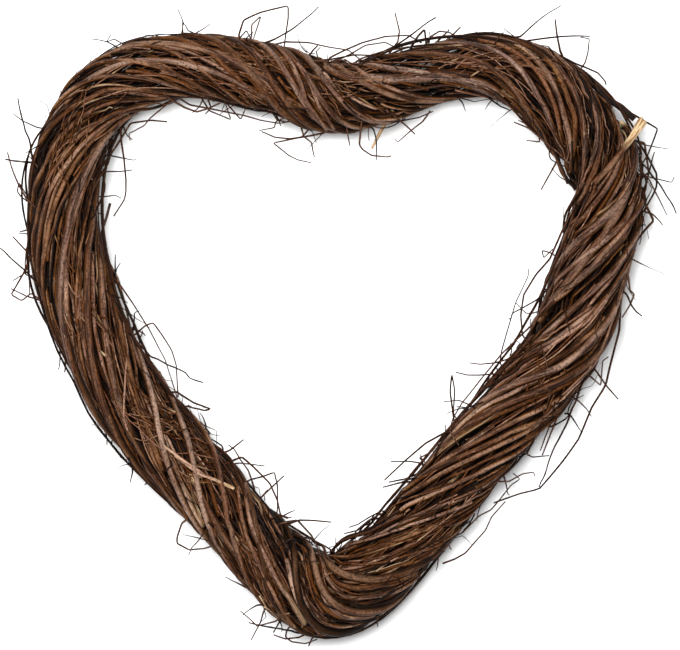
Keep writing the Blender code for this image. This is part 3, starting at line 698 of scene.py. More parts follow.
class TwigMesh:
    """Gathers canes of one kind, with a number of sides and rings, and makes them one piece."""

    def __init__(self, sides, rings):
        self.sides = sides
        self.rings = rings
        self.canes = []

    def add(self, cane, tint, bare=None, knots=None, end=0.2, shave=0.8):
        """Add a cane.

        The tint is its tone and rust. How bare its wood is and how much it swells are given at its rings. The
        end says how bare its two ends are, and the shave how much of bare wood is broken away on one side.
        """
        points, radius, away, at = cane
        bare = np.zeros(len(at)) if bare is None else bare
        swell = np.ones(len(at)) if knots is None else knots
        self.canes.append((points, radius * swell, away, at, tint, bare, end, shave))

    def surface(self, rng):
        """Vertices and faces of all canes at once.

        Each cane is a grid of rings and sides: centre plus radius times cosine and sine of the side's angle
        along two directions across the cane. The radius swells and narrows a little with that angle. Each
        end is closed by a smaller ring and a middle point.
        """
        points, radius, away, at, tint, bare, end, shave = map(np.array, zip(*self.canes))
        end = end[:, None]
        shave = shave[:, None, None]
        count = len(points)
        ahead = np.gradient(points, axis=1)
        ahead /= np.linalg.norm(ahead, axis=2)[..., None] + 1e-12
        up = away - (away * ahead).sum(2)[..., None] * ahead
        up /= np.linalg.norm(up, axis=2)[..., None] + 1e-12
        side = np.cross(ahead, up)
        angle = np.arange(self.sides) * 2 * np.pi / self.sides
        phase = rng.random((count, 1, 1)) * 2 * np.pi
        depth = rng.uniform(0.01, 0.05, (count, 1, 1))
        # two flat sides and five ribs, which turn slowly along the cane
        flat_sides = np.cos(2 * angle + phase + at[..., None] * 20)
        ribs = np.cos(5 * angle + 2 * phase + at[..., None] * 35)
        lobes = 1 + depth * flat_sides + 0.4 * depth * ribs
        # a broken end is cut away slantwise, more on one side of the cane
        slant = 0.5 + 0.5 * np.cos(angle + phase)
        ragged = 0.75 + 0.25 * np.cos(4 * angle + 3 * phase)
        lobes = lobes * (1 - shave * bare[..., None] ** 2 * slant * ragged)
        reach = radius[..., None] * lobes
        round_way = np.cos(angle)[:, None] * up[:, :, None] + np.sin(angle)[:, None] * side[:, :, None]
        skin = points[:, :, None] + reach[..., None] * round_way
        cap = 0.8  # size of the smaller ring that closes an end
        start_cap = points[:, :1, None] + cap * reach[:, :1, :, None] * round_way[:, :1]
        end_cap = points[:, -1:, None] + cap * reach[:, -1:, :, None] * round_way[:, -1:]
        rings = np.concatenate([start_cap, skin, end_cap], 1)
        per_cane = (self.rings + 2) * self.sides + 2
        middle = np.stack([skin[:, 0].mean(1), skin[:, -1].mean(1)], 1)
        vertices = np.concatenate([rings.reshape(count, -1, 3), middle], 1)
        flat = np.empty((count, self.rings + 2, self.sides, 3))
        rim = np.concatenate([at[:, :1], at, at[:, -1:]], 1)
        around = np.concatenate([reach[:, :1] * cap, reach, reach[:, -1:] * cap], 1)
        # each cane reads another place of the pattern
        shift = rng.uniform(-3, 3, (count, 1, 1, 3))
        flat[..., 0] = around * np.cos(angle)
        flat[..., 1] = around * np.sin(angle)
        flat[..., 2] = rim[..., None]
        flat = flat + shift
        ends = np.stack([flat[:, 0].mean(1), flat[:, -1].mean(1)], 1)
        bark = np.concatenate([flat.reshape(count, -1, 3), ends], 1)
        # painted shade: the skin is darker on the flanks toward the bundle, where the canes crowd together
        # and would shade each other
        unshaded_side = np.clip((np.cos(angle) + PAINTED_SHADE_START) / PAINTED_SHADE_SPAN, 0, 1)
        painted_flank = PAINTED_FLANK_SHADE + (1 - PAINTED_FLANK_SHADE) * unshaded_side**2 * (3 - 2 * unshaded_side)
        brightness = DARKEST + (LIGHTEST - DARKEST) * tint[:, 0]
        shade = np.empty((count, self.rings + 2, self.sides, 3))
        shade[..., 0] = brightness[:, None, None] * painted_flank
        shade[..., 1] = tint[:, 1, None, None]
        shade[:, 1:-1, :, 2] = bare[..., None]
        shade[:, 0, :, 2] = end
        shade[:, -1, :, 2] = end
        cut_shade = 0.7  # brightness of the cut face as a share of the skin's
        cap_shade = np.column_stack([cut_shade * brightness, tint[:, 1], end])[:, None].repeat(2, 1)
        shades = np.concatenate([shade.reshape(count, -1, 3), cap_shade], 1)
        ring = np.arange(self.rings + 1)[:, None] * self.sides
        here = np.arange(self.sides)[None]
        after = (here + 1) % self.sides
        quads = np.stack([ring + here, ring + after, ring + self.sides + after, ring + self.sides + here], 2)
        last = (self.rings + 1) * self.sides
        start_fan = np.stack([after[0], here[0], np.full(self.sides, per_cane - 2)], 1)
        end_fan = np.stack([last + here[0], last + after[0], np.full(self.sides, per_cane - 1)], 1)
        first = (np.arange(count) * per_cane)[:, None, None]
        quads = (quads.reshape(1, -1, 4) + first).reshape(-1, 4)
        fans = (np.concatenate([start_fan, end_fan])[None] + first).reshape(-1, 3)
        return vertices.reshape(-1, 3), quads, fans, bark.reshape(-1, 3), shades.reshape(-1, 3)

    def piece(self, name, rng, finish, slot=None, replaced=()):
        """The canes as one piece, which stands for the replaced nodes. Its slot is not used."""
        vertices, quads, fans, bark, shades = self.surface(rng)
        mesh = bpy.data.meshes.new(name)
        mesh.vertices.add(len(vertices))
        mesh.vertices.foreach_set("co", vertices.ravel())
        corners = np.concatenate([quads.ravel(), fans.ravel()])
        mesh.loops.add(len(corners))
        mesh.loops.foreach_set("vertex_index", corners.astype(np.int32))
        starts = np.concatenate([np.arange(len(quads)) * 4, len(quads) * 4 + np.arange(len(fans)) * 3])
        mesh.polygons.add(len(starts))
        mesh.polygons.foreach_set("loop_start", starts.astype(np.int32))
        smooth = np.ones(len(starts), dtype=bool)
        smooth[len(quads):] = False
        mesh.polygons.foreach_set("use_smooth", smooth)
        mesh.update(calc_edges=True)
        made = wreath_piece(name, mesh, bark, shades, finish)
        if replaced:
            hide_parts(*replaced)


def wreath_piece(name, mesh, place, tint, finish):
    """An object of the mesh that rides on the wreath, with its bark and what that reads at each point."""
    for label, values in (("bark_place", place), ("bark_tint_and_shade", tint)):
        layer = mesh.attributes.new(label, "FLOAT_VECTOR", "POINT")
        layer.data.foreach_set("vector", values.astype(np.float32).ravel())
    mesh.materials.append(bark_of(finish))
    piece = bpy.data.objects.new(name, mesh)
    bpy.context.scene.collection.objects.link(piece)
    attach(piece, "root")
    return piece


def add_node(tree, kind, settings=None, values=None, links=None):
    """A shader node with its settings, socket values and incoming links."""
    node = tree.nodes.new(kind)
    for key, value in (settings or {}).items():
        setattr(node, key, value)
    for key, value in (values or {}).items():
        node.inputs[key].default_value = value
    for key, source in (links or {}).items():
        tree.links.new(source, node.inputs[key])
    return node


def blend(tree, low, high, share):
    """A colour between two, each a colour or an outgoing link, by a share that may be a link too."""
    node = tree.nodes.new("ShaderNodeMix")
    node.data_type = "RGBA"
    for socket, source in ((0, share), (6, low), (7, high)):
        if isinstance(source, bpy.types.NodeSocket):
            tree.links.new(source, node.inputs[socket])
        else:
            node.inputs[socket].default_value = source
    return node.outputs[2]


def stretched(tree, place, along):
    """The bark's place shortened along the cane, which draws a pattern out lengthwise."""
    return add_node(
        tree, "ShaderNodeMapping", values={"Scale": (1, 1, along)}, links={"Vector": place}
    ).outputs["Vector"]


def noise(tree, place, size_mm, roughness):
    """Cloudy pattern with spots of a size in millimetres."""
    return add_node(
        tree, "ShaderNodeTexNoise",
        values={"Scale": 1000 / size_mm, "Detail": 3.0, "Roughness": roughness}, links={"Vector": place},
    ).outputs["Fac"]


def ranged(tree, value, low, high, first=0.0, last=1.0):
    """A value from low to high, mapped to the range from first to last and held within it."""
    return add_node(
        tree, "ShaderNodeMapRange",
        values={"From Min": low, "From Max": high, "To Min": first, "To Max": last}, links={"Value": value},
    ).outputs["Result"]


PORE_COLOUR = "#9A8069"
WOOD_GROOVE = "#85603C"
WOOD = "#D8BC94"
SPECK_MM = 1.5
PATCH_WIDTH = 9  # width of a rubbed patch in striations


def bark_material(name, furrow, skin, worn, rust, striation_mm, spot_mm, roughness):
    """Unpeeled rattan or vine bark, dried on the cane.

    Dull brown skin with fine lengthwise striations, darker in the furrows and greyer where it is rubbed,
    small pale pores, dark specks of dirt, and cream fibrous wood where it is broken. All patterns follow the
    cane: they read its own bark_place attribute, which is the unrolled cane in metres. Striations, pores and
    specks are drawn coarser than real ones, so that they show from where the whole wreath is seen.
    """
    made = bpy.data.materials.new(name)
    made.use_nodes = True
    tree = made.node_tree
    tree.nodes.clear()
    place = add_node(tree, "ShaderNodeAttribute", {"attribute_name": "bark_place"}).outputs["Vector"]
    tint = add_node(tree, "ShaderNodeAttribute", {"attribute_name": "bark_tint_and_shade"}).outputs["Vector"]
    part = add_node(tree, "ShaderNodeSeparateXYZ", links={"Vector": tint}).outputs
    # the brightness is the cane's tone times the painted flank shade
    brightness, rustiness, bareness = part["X"], part["Y"], part["Z"]
    mottled = stretched(tree, place, 0.3)
    striation = noise(tree, stretched(tree, place, 0.06), striation_mm, 0.6)
    patches = noise(tree, mottled, striation_mm * PATCH_WIDTH, 0.55)
    specks = noise(tree, place, SPECK_MM, 0.65)
    pores = add_node(
        tree, "ShaderNodeTexVoronoi", values={"Scale": 1000 / spot_mm, "Randomness": 1.0},
        links={"Vector": mottled},
    ).outputs["Distance"]
    skin_share = ranged(tree, striation, 0.42, 0.57)
    bark_colour = blend(tree, linear(furrow), linear(skin), skin_share)
    bark_colour = blend(tree, bark_colour, linear(worn), ranged(tree, patches, 0.47, 0.66, 0.0, 0.9))
    bark_colour = blend(tree, bark_colour, linear(rust), rustiness)
    bark_colour = blend(tree, bark_colour, linear(PORE_COLOUR), ranged(tree, pores, 0.08, 0.18, 0.6, 0.0))
    bark_colour = blend(tree, bark_colour, linear(furrow), ranged(tree, specks, 0.49, 0.66, 0.0, 0.85))
    # dark canes are a richer brown than light ones, which are dusty; the brightness also carries the painted
    # flank shade, so the painted shade is a richer brown too
    richness = ranged(tree, brightness, 0.1, 1.2, 1.60, 0.84)
    bark_colour = add_node(
        tree, "ShaderNodeHueSaturation",
        links={"Saturation": richness, "Value": brightness, "Color": bark_colour},
    ).outputs["Color"]
    wood_colour = blend(tree, linear(WOOD_GROOVE), linear(WOOD), skin_share)
    colour = blend(tree, bark_colour, wood_colour, bareness)
    relief = add_node(
        tree, "ShaderNodeMath", {"operation": "MULTIPLY_ADD"}, {1: 0.35}, {0: patches, 2: striation}
    ).outputs[0]
    bump = add_node(
        tree, "ShaderNodeBump", values={"Strength": 0.8, "Distance": 0.001}, links={"Height": relief}
    ).outputs["Normal"]
    rough = ranged(tree, striation, 0.3, 0.7, roughness + 0.12, roughness - 0.08)
    shader = add_node(
        tree, "ShaderNodeBsdfPrincipled", values={"Specular IOR Level": 0.12},
        links={"Base Color": colour, "Roughness": rough, "Normal": bump},
    )
    add_node(tree, "ShaderNodeOutputMaterial", links={"Surface": shader.outputs["BSDF"]})
    return made


# Name, furrow, skin, rubbed and rust colours, width of a striation and of a pore in millimetres, roughness.
# The inner and bed twigs lie deepest, and their darker colours are partly painted shade of that depth.
BARKS = {
    "inner_twigs": ("shaded_vine_bark", "#0C0502", "#2A140B", "#40271A", "#40200F", 0.5, 3.0, 0.75),
    "bed_twigs": ("thin_vine_bark", "#0E0502", "#3C2114", "#5E3E2A", "#4A2B1A", 0.5, 3.0, 0.66),
    "cane_bark": ("thick_rattan_bark", "#1C0E08", "#684939", "#907463", "#66432F", 1.2, 2.4, 0.60),
    "slim_bark": ("slim_rattan_bark", "#160904", "#65432F", "#93715A", "#6B4530", 0.9, 2.6, 0.62),
    "loose_twigs": ("dry_twig_bark", "#150A05", "#3C251A", "#5C4131", "#4C2B19", 0.5, 3.0, 0.70),
}


def bark_of(finish):
    """The bark of one of the record's finishes, made once."""
    return bpy.data.materials.get(BARKS[finish][0]) or bark_material(*BARKS[finish])


# The grid of laid twigs and the box round the solids, which the operators share
STATE = {}


def wreath_random(label):
    """Random numbers of one operator, from the wreath's seed."""
    return np.random.default_rng([bpy.context.scene.wreath_twigs.seed, *label.encode()])


def twig_tint(rng, rust):
    """Tone and rust of a thin twig: most are mid brown, some dark, some light."""
    mid_tone, spread = 0.42, 0.28
    return np.clip(rng.normal(mid_tone, spread), 0.02, 1.0), rust * rng.random() ** 1.5


def peeled(rng, rings, chance, most):
    """How bare a cane is along its length: a bell-shaped patch on some canes, none on the rest."""
    middle, width = rng.random(), rng.uniform(0.05, 0.2)
    strength = rng.uniform(0.3, 1.0) * most if rng.random() < chance else 0.0
    return strength * np.exp(-(((np.linspace(0, 1, rings) - middle) / width) ** 2))


def one_of(rng, choices):
    """One of some values, each with its own chance."""
    values, chances = choices
    return rng.choice(values, p=chances)


def quarter_meshes(sides, rings):
    """A mesh for the twigs of each quarter of the heart."""
    return {name: TwigMesh(sides, rings) for name in QUARTERS}


def quarter_pieces(meshes, label, rng, finish, slot=None):
    """The twigs of each quarter as one piece."""
    for name, mesh in meshes.items():
        mesh.piece(f"{label}_{name}", rng, finish, slot)


def quarter_of(station):
    """Name of the quarter in which a station lies."""
    return QUARTERS[int(np.mod(station, 1.0) * 4)]


def knots_on(rng, at, spacing, height):
    """Swellings at the joints of a cane: bell-shaped, at uneven distances."""
    knot_length = 0.0022
    swell = np.ones(len(at))
    place = rng.uniform(0, spacing)
    while place < at[-1]:
        swell += height * rng.uniform(0.4, 1.2) * np.exp(-(((at - place) / knot_length) ** 2))
        place += spacing * rng.uniform(0.6, 1.5)
    return swell


def lowest_path(laid, rng, steepness, turns, tries, samples, angles=(0, 360)):
    """Of some random paths along the winding, the one over the lowest stretch of the bundle.

    Each starts at an angle within the given ones, and turns by an angle within the given turns.
    """
    best = None
    for _ in range(tries):
        start = rng.random()
        station, degrees = wound_path(start, rng.uniform(*angles), rng.uniform(*turns), steepness, samples)
        level = laid.level(station, np.radians(degrees)) - heart_at(station)[:, 2].mean()
        if best is None or level < best[0]:
            best = (level, start, station, degrees)
    return best[1:]


class WREATH_OT_inner_twigs(bpy.types.Operator):
    """Lay the twigs of the inner bundle round its dark core"""

    bl_idname = "wreath.inner_twigs"
    bl_label = "Inner Twigs"

    def execute(self, context):
        twigs, sizes = context.scene.wreath_twigs, context.scene.wreath_sizes
        rng = wreath_random("inner")
        laid = LaidTwigs()
        STATE["laid"] = laid
        core = core_piece()
        rings = 26
        meshes = quarter_meshes(5, rings)
        for _ in range(twigs.inner):
            steepness = one_of(rng, INNER_SLANTS)
            turn = rng.uniform(140, 360) * abs(steepness)
            start, station, degrees = lowest_path(laid, rng, steepness, (turn, turn), tries=5, samples=240)
            diameter = sizes.inner_twig * rng.uniform(0.7, 1.35)
            cane = laid_cane(laid, rng, station, degrees, diameter, rings, kink=0.04, taper=TWIG_TIP_SHARE)
            meshes[quarter_of(start)].add(cane, (rng.uniform(0.1, 0.6), rng.random() ** 2))
        quarter_pieces(meshes, "inner_twigs", rng, "inner_twigs")
        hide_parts("inner_twigs")
        return {"FINISHED"}


class WREATH_OT_bed_twigs(bpy.types.Operator):
    """Lay thin twigs on the inner bundle, more lengthwise than the canes"""

    bl_idname = "wreath.bed_twigs"
    bl_label = "Bed Twigs"

    def execute(self, context):
        twigs, sizes = context.scene.wreath_twigs, context.scene.wreath_sizes
        rng = wreath_random("bed")
        laid = STATE["laid"]
        rings = 20
        meshes = quarter_meshes(5, rings)
        for _ in range(twigs.bed):
            steepness = one_of(rng, BED_SLANTS)
            turn = rng.uniform(70, 200) * abs(steepness)
            start, station, degrees = lowest_path(laid, rng, steepness, (turn, turn), tries=6, samples=160)
            diameter = sizes.bed_twig * rng.uniform(0.6, 1.3)
            cane = laid_cane(laid, rng, station, degrees, diameter, rings, kink=0.04, taper=TWIG_TIP_SHARE)
            tint = twig_tint(rng, rust=0.9)
            bare = peeled(rng, rings, chance=0.15, most=0.5)
            meshes[quarter_of(start)].add(cane, tint, bare, end=0.4, shave=0)
        quarter_pieces(meshes, "bed_twigs", rng, "bed_twigs", "inner_twigs")
        return {"FINISHED"}


def core_piece():
    """Packed middle of the bundle, black as painted shade for the depths between the twigs: a closed tube
    round the heart under the twigs, slightly ridged.

    Each point is the middle line plus the spoke at its angle times the bundle's radius less the cover and
    the core's depth, with a ripple of nine ridges that turn three times on the way round.
    """
    stations, sides = 240, 28
    ridges, turns, ridge_height = 9, 3, 0.03
    station = np.repeat(np.arange(stations) / stations, sides)
    turn = np.tile(np.arange(sides) * 2 * np.pi / sides, stations)
    ripple = 1 + ridge_height * np.cos(ridges * (turn - 2 * turns * np.pi * station))
    centre, away = spokes(station, turn)
    radius = np.maximum(heart_at(station)[:, 2] - CANE_COVER - CORE_DEPTH, CORE_LEAST)
    vertices = centre + away * (radius * ripple)[:, None]
    i = np.arange(stations)[:, None]
    j = np.arange(sides)[None]
    here, after = i * sides, (i + 1) % stations * sides
    next_side = (j + 1) % sides
    faces = np.stack([here + j, here + next_side, after + next_side, after + j], 2).reshape(-1, 4)
    mesh = bpy.data.meshes.new("twig_core")
    mesh.from_pydata(vertices.tolist(), [], faces.tolist())
    mesh.polygons.foreach_set("use_smooth", np.ones(len(faces), dtype=bool))
    typical_radius = 0.018
    place = np.column_stack([turn * typical_radius, radius, station * HEART_LENGTH])
    # its tint is all zero, so it is black: painted shade for the depths between the twigs
    return wreath_piece("twig_core", mesh, place, np.zeros_like(place), "inner_twigs")


class WREATH_OT_under_canes(bpy.types.Operator):
    """Lay slim canes that show between the main ones"""

    bl_idname = "wreath.under_canes"
    bl_label = "Under Canes"

    def execute(self, context):
        twigs, sizes = context.scene.wreath_twigs, context.scene.wreath_sizes
        rng = wreath_random("under")
        laid = STATE["laid"]
        mesh = TwigMesh(7, 44)
        for _ in range(twigs.under):
            diameter = sizes.filling_cane * rng.uniform(0.6, 1.0)
            steepness = rng.uniform(0.7, 1.1)
            _, station, degrees = lowest_path(laid, rng, steepness, (150, 330), tries=8, samples=340)
            cane = laid_cane(laid, rng, station, degrees, diameter, mesh.rings)
            tint = rng.uniform(0.2, 0.8), rng.random() ** 2
            mesh.add(cane, tint, knots=knots_on(rng, cane[3], spacing=0.05, height=0.14))
        mesh.piece("under_canes", rng, "slim_bark")
        return {"FINISHED"}


def wound_row(rng, splinters, name, diameter, outers, inners, count, start, end):
    """The canes of one row of the table as one piece, which replaces their nodes."""
    finish = "slim_bark" if diameter == SLIM_CANE else "cane_bark"
    mesh = TwigMesh(12, 100)
    nodes = []
    broken_end, broken_length = BROKEN_ENDS.get(name, (0, 0.0))
    for i in range(count):
        share = i / max(1, count - 1)
        outer = outers[0] + share * (outers[1] - outers[0])
        per_degree = (inners[0] + share * (inners[1] - inners[0]) - outer) / 180
        samples = sample_count((end - start) * per_degree, end - start)
        degrees = np.linspace(start, end, samples)
        station = outer + degrees * per_degree
        cane = laid_cane(STATE["laid"], rng, station, degrees, diameter, mesh.rings, press=0.2, kink=0.02)
        points, _, away, at = cane
        bare = np.zeros(len(at))
        if broken_length:
            gone = at[-1] - at if broken_end else at
            bare = np.clip(1 - gone / broken_length, 0, 1) ** 0.6
            # the end itself, and a ring a little way in, which give the direction of the splinters
            tip, behind = (-1, -5) if broken_end else (0, 4)
            ahead = points[tip] - points[behind]
            splinter_fan(rng, splinters, points[tip], ahead, away[tip], diameter, broken_length)
        tone = TONES.get(name, THICK_TONE if diameter > MIDDLE_CANE else THIN_TONE)
        tone += rng.uniform(-TONE_SPREAD, TONE_SPREAD)
        knots = knots_on(rng, at, spacing=0.06, height=0.13)
        mesh.add(cane, (tone, 0.25 * rng.random() ** 2), bare, knots, end=0.8, shave=0.5)
        nodes.append(name if count == 1 else f"{name}_{i + 1}")
    label = f"wound_{name}" if count == 1 else f"{name}s"
    mesh.piece(label, rng, finish, replaced=nodes)


class WREATH_OT_wound_canes(bpy.types.Operator):
    """Lay the main canes that wind round the bundle"""

    bl_idname = "wreath.wound_canes"
    bl_label = "Wound Canes"

    def execute(self, context):
        rng = wreath_random("wound")
        splinters = TwigMesh(5, 8)
        for row in CANES:
            wound_row(rng, splinters, *row)
        splinters.piece("splinters", rng, "cane_bark")
        return {"FINISHED"}


def splinter_fan(rng, mesh, tip, ahead, away, diameter, length):
    """Pale slivers that stand out of a broken end, along the cane and a little apart."""
    slivers, root, spread = 7, 0.004, 0.16  # the root is how far behind the end they start
    ahead = ahead / np.linalg.norm(ahead)
    across = np.cross(ahead, away)
    for _ in range(slivers):
        aside = rng.uniform(-0.35, 0.35, 2) * diameter
        start = tip - ahead * root + away * aside[0] + across * aside[1]
        direction = ahead + spread * (rng.normal() * away + rng.normal() * across)
        reach = rng.uniform(0.1, 0.3) * length + root
        width = diameter * rng.uniform(0.14, 0.34)
        sliver = free_twig(
            rng, start, direction, away, reach, width, mesh.rings, joint_bend=0.03, arc=0.0, taper=0.15
        )
        mesh.add(sliver, (rng.uniform(0.5, 0.9), 0.0), np.full(mesh.rings, 0.9), shave=0.0)


class WREATH_OT_filling_canes(bpy.types.Operator):
    """Lay canes into the gaps between the main ones"""

    bl_idname = "wreath.filling_canes"
    bl_label = "Filling Canes"

    def execute(self, context):
        twigs, sizes = context.scene.wreath_twigs, context.scene.wreath_sizes
        rng = wreath_random("filling")
        laid = STATE["laid"]
        rings = 50
        meshes = quarter_meshes(8, rings)
        for _ in range(twigs.filling):
            diameter = sizes.filling_cane * one_of(rng, FILLING_WIDTHS)
            steepness = rng.uniform(0.85, 1.15)
            start, station, degrees = lowest_path(
                laid, rng, steepness, (120, 300), tries=16, samples=320, angles=(-140, 60)
            )
            cane = laid_cane(laid, rng, station, degrees, diameter, rings, press=0.15)
            bare = peeled(rng, rings, chance=0.15, most=0.2)
            knots = knots_on(rng, cane[3], spacing=0.045, height=0.14)
            meshes[quarter_of(start)].add(cane, twig_tint(rng, rust=0.6), bare, knots, end=0.4, shave=0)
        quarter_pieces(meshes, "filling_canes", rng, "slim_bark")
        return {"FINISHED"}


class WREATH_OT_surface_twigs(bpy.types.Operator):
    """Lay thin twigs over the canes"""

    bl_idname = "wreath.surface_twigs"
    bl_label = "Surface Twigs"

    def execute(self, context):
        twigs, sizes = context.scene.wreath_twigs, context.scene.wreath_sizes
        rng = wreath_random("surface")
        laid = STATE["laid"]
        rings = 24
        meshes = quarter_meshes(5, rings)
        for _ in range(twigs.surface):
            diameter = sizes.surface_twig * rng.uniform(0.45, 1.3)
            steepness = one_of(rng, SURFACE_SLANTS)
            turns = (15, 45) if steepness < 0 else (30, 140)
            start, station, degrees = lowest_path(laid, rng, steepness, turns, tries=5, samples=180)
            cane = laid_cane(laid, rng, station, degrees, diameter, rings, kink=0.035, taper=TWIG_TIP_SHARE)
            bare = peeled(rng, rings, chance=0.2, most=0.6)
            knots = knots_on(rng, cane[3], spacing=0.025, height=0.18)
            meshes[quarter_of(start)].add(cane, twig_tint(rng, rust=0.9), bare, knots, end=0.4, shave=0)
        quarter_pieces(meshes, "surface_twigs", rng, "slim_bark")
        return {"FINISHED"}


class WREATH_OT_loose_twigs(bpy.types.Operator):
    """Let fine twigs stand out of the bundle"""

    bl_idname = "wreath.loose_twigs"
    bl_label = "Loose Twigs"

    def execute(self, context):
        twigs, sizes = context.scene.wreath_twigs, context.scene.wreath_sizes
        rng = wreath_random("loose")
        laid = STATE["laid"]
        mesh = TwigMesh(6, 30)
        t = np.linspace(0, 1, 120)
        leaves = 1 / 6  # share of its length after which a twig leaves the bundle
        rise = np.maximum(0, (t - leaves) / (1 - leaves)) ** 1.4
        for name, start, angle, run, drift, reach in LOOSE_TWIGS:
            cane = laid_cane(
                laid, rng, start + run * t, angle + drift * t, LOOSE_TWIG, mesh.rings, taper=TWIG_TIP_SHARE,
                stand_off=reach * TWIG_REACH * rise,
            )
            tint = rng.uniform(0.2, 0.6), rng.random()
            mesh.add(cane, tint, knots=knots_on(rng, cane[3], spacing=0.02, height=0.2))
        mesh.piece("loose_twigs", rng, "loose_twigs", replaced=[row[0] for row in LOOSE_TWIGS])

        arched = TwigMesh(6, 28)
        samples = 140
        for _ in range(twigs.arched):
            # over the outer or the inner edge of the bundle
            middle = rng.choice([0, 180]) + rng.normal() * 12
            steepness = one_of(rng, ARCHED_SLANTS)
            turn = rng.uniform(50, 130) * steepness ** 0.5
            station, degrees = wound_path(rng.random(), middle - turn / 2, turn, steepness, samples)
            off = rng.uniform(0.001, 0.005) * np.sin(np.linspace(0, np.pi, samples)) ** 2
            diameter = sizes.surface_twig * rng.uniform(0.6, 1.6)
            cane = laid_cane(
                laid, rng, station, degrees, diameter, arched.rings, taper=TWIG_TIP_SHARE, stand_off=off
            )
            tint = rng.uniform(0.2, 0.8), rng.random()
            arched.add(cane, tint, knots=knots_on(rng, cane[3], spacing=0.02, height=0.2))
        arched.piece("arched_twigs", rng, "loose_twigs")

        wisps = TwigMesh(4, 14)
        low, high = STATE["box"]
        root, longest, highest = 0.001, 0.04, 0.014  # metres: how deep a wisp starts, and how far it reaches
        for _ in range(twigs.wisps):
            angle = rng.choice([0, 180]) + rng.normal() * 40
            station, degrees = wound_path(rng.random(), angle, 2.0, rng.choice(WISP_SLANTS), 2)
            centre, away = spokes(station, np.radians(degrees))
            skin = centre + away * (heart_at(station)[:, 2] - root)[:, None]
            ahead = (skin[1] - skin[0]) * rng.choice([-1, 1])
            ahead /= np.linalg.norm(ahead)
            lift = 0.08 + abs(rng.normal()) * 0.5
            length = min(0.008 + rng.exponential(0.011), longest, highest / lift)
            direction = ahead + lift * away[0]
            diameter = sizes.wisp * rng.uniform(0.6, 1.6)
            cane = free_twig(
                rng, skin[0], direction, away[0], length, diameter, wisps.rings, joint_bend=0.35,
                arc=rng.normal() * 0.5,
            )
            if (cane[0][:, :2] > low[:2]).all() and (cane[0][:, :2] < high[:2]).all():
                wisps.add(cane, (rng.uniform(0.1, 0.7), rng.random()))
        wisps.piece("wisps", rng, "loose_twigs")

        strays = TwigMesh(5, 40)
        for thickness, *places in STRAYS:
            stray = stray_twig(rng, thickness / 1000, places, strays.rings)
            strays.add(stray, (rng.uniform(0.2, 0.8), rng.random()))
        thickness, *places = BARE_STICK
        stick = stray_twig(rng, thickness / 1000, places, strays.rings)
        strays.add(stick, (0.7, 0.2), np.linspace(0.3, 0.95, strays.rings), end=0.9, shave=0.3)
        strays.piece("strays", rng, "loose_twigs")
        return {"FINISHED"}


class WREATH_OT_tangles(bpy.types.Operator):
    """Lay patches of fine twigs that show between the last canes"""

    bl_idname = "wreath.tangles"
    bl_label = "Tangles"

    def execute(self, context):
        sizes = context.scene.wreath_sizes
        rng = wreath_random("tangles")
        laid = STATE["laid"]
        mesh = TwigMesh(5, 16)
        samples = 60
        for first, last, outer, inner, slant, number in TANGLES:
            last = last + 1 if last < first else last
            for _ in range(number):
                reach = rng.uniform(0.006, 0.016)
                aim = math.radians(slant + rng.normal() * 14)
                middle = 90 + math.degrees(math.asin(rng.uniform(outer, inner)))
                along = reach * math.cos(aim) / HEART_LENGTH
                around = math.degrees(reach * math.sin(aim) / RING)
                station = rng.uniform(first, last) + np.linspace(-along, along, samples)
                degrees = middle + np.linspace(-around, around, samples)
                diameter = sizes.surface_twig * rng.uniform(0.45, 0.95)
                cane = laid_cane(
                    laid, rng, station, degrees, diameter, mesh.rings, kink=0.06, taper=TWIG_TIP_SHARE
                )
                tint = (0.15 + 0.7 * rng.random() ** 1.5, rng.random())
                bare = peeled(rng, mesh.rings, chance=0.15, most=0.6)
                mesh.add(cane, tint, bare, end=0.4, shave=0)
        mesh.piece("tangles", rng, "slim_bark")
        return {"FINISHED"}


class WREATH_OT_hand_laid_canes(bpy.types.Operator):
    """Lay single canes and twigs over the others"""

    bl_idname = "wreath.hand_laid_canes"
    bl_label = "Hand Laid Canes"

    def execute(self, context):
        rng = wreath_random("hand")
        splinters = TwigMesh(5, 8)
        for row in LAST_CANES:
            wound_row(rng, splinters, *row)
        mesh = TwigMesh(9, 50)
        at_rings = np.linspace(0, 1, mesh.rings)
        for thickness, tone, rust, first_bare, last_bare, *places in HAND_LAID:
            station, across = np.array(places).T
            station = np.where(station < station[0] - 0.5, station + 1, station)
            samples = sample_count(station[-1] - station[0], 90 * (across[-1] - across[0]))
            t = np.linspace(0, len(station) - 1, samples)
            knot = np.arange(len(station))
            share = np.interp(t, knot, across)
            degrees = 90 + np.degrees(np.arcsin(np.clip(share, -1, 1)))
            off = BUNDLE_THICKNESS / 2 * np.maximum(np.abs(share) - 1, 0)
            cane = laid_cane(
                STATE["laid"], rng, np.interp(t, knot, station), degrees, thickness / 1000, mesh.rings,
                press=0.25, stand_off=off,
            )
            bare = np.interp(at_rings, (0, 0.35, 0.65, 1), (first_bare, 0, 0, last_bare))
            knots = knots_on(rng, cane[3], spacing=0.05, height=0.13)
            mesh.add(cane, (tone, rust), bare, knots, end=0.5, shave=0.4)
        thickness, *places = SHOULDER_STUB
        stub = stray_twig(rng, thickness / 1000, places, mesh.rings)
        points, _, away, _ = stub
        splinter_fan(rng, splinters, points[0], points[0] - points[4], away[0], thickness / 1000, 0.02)
        bare = np.interp(at_rings, STUB_BARE, (1, 0))
        wedge = np.interp(at_rings, *STUB_WEDGE)
        mesh.add(stub, (0.45, 0.1), bare, wedge, end=0.9, shave=0.5)
        splinters.piece("shoulder_splinters", rng, "cane_bark")
        mesh.piece("hand_laid_canes", rng, "slim_bark")
        return {"FINISHED"}


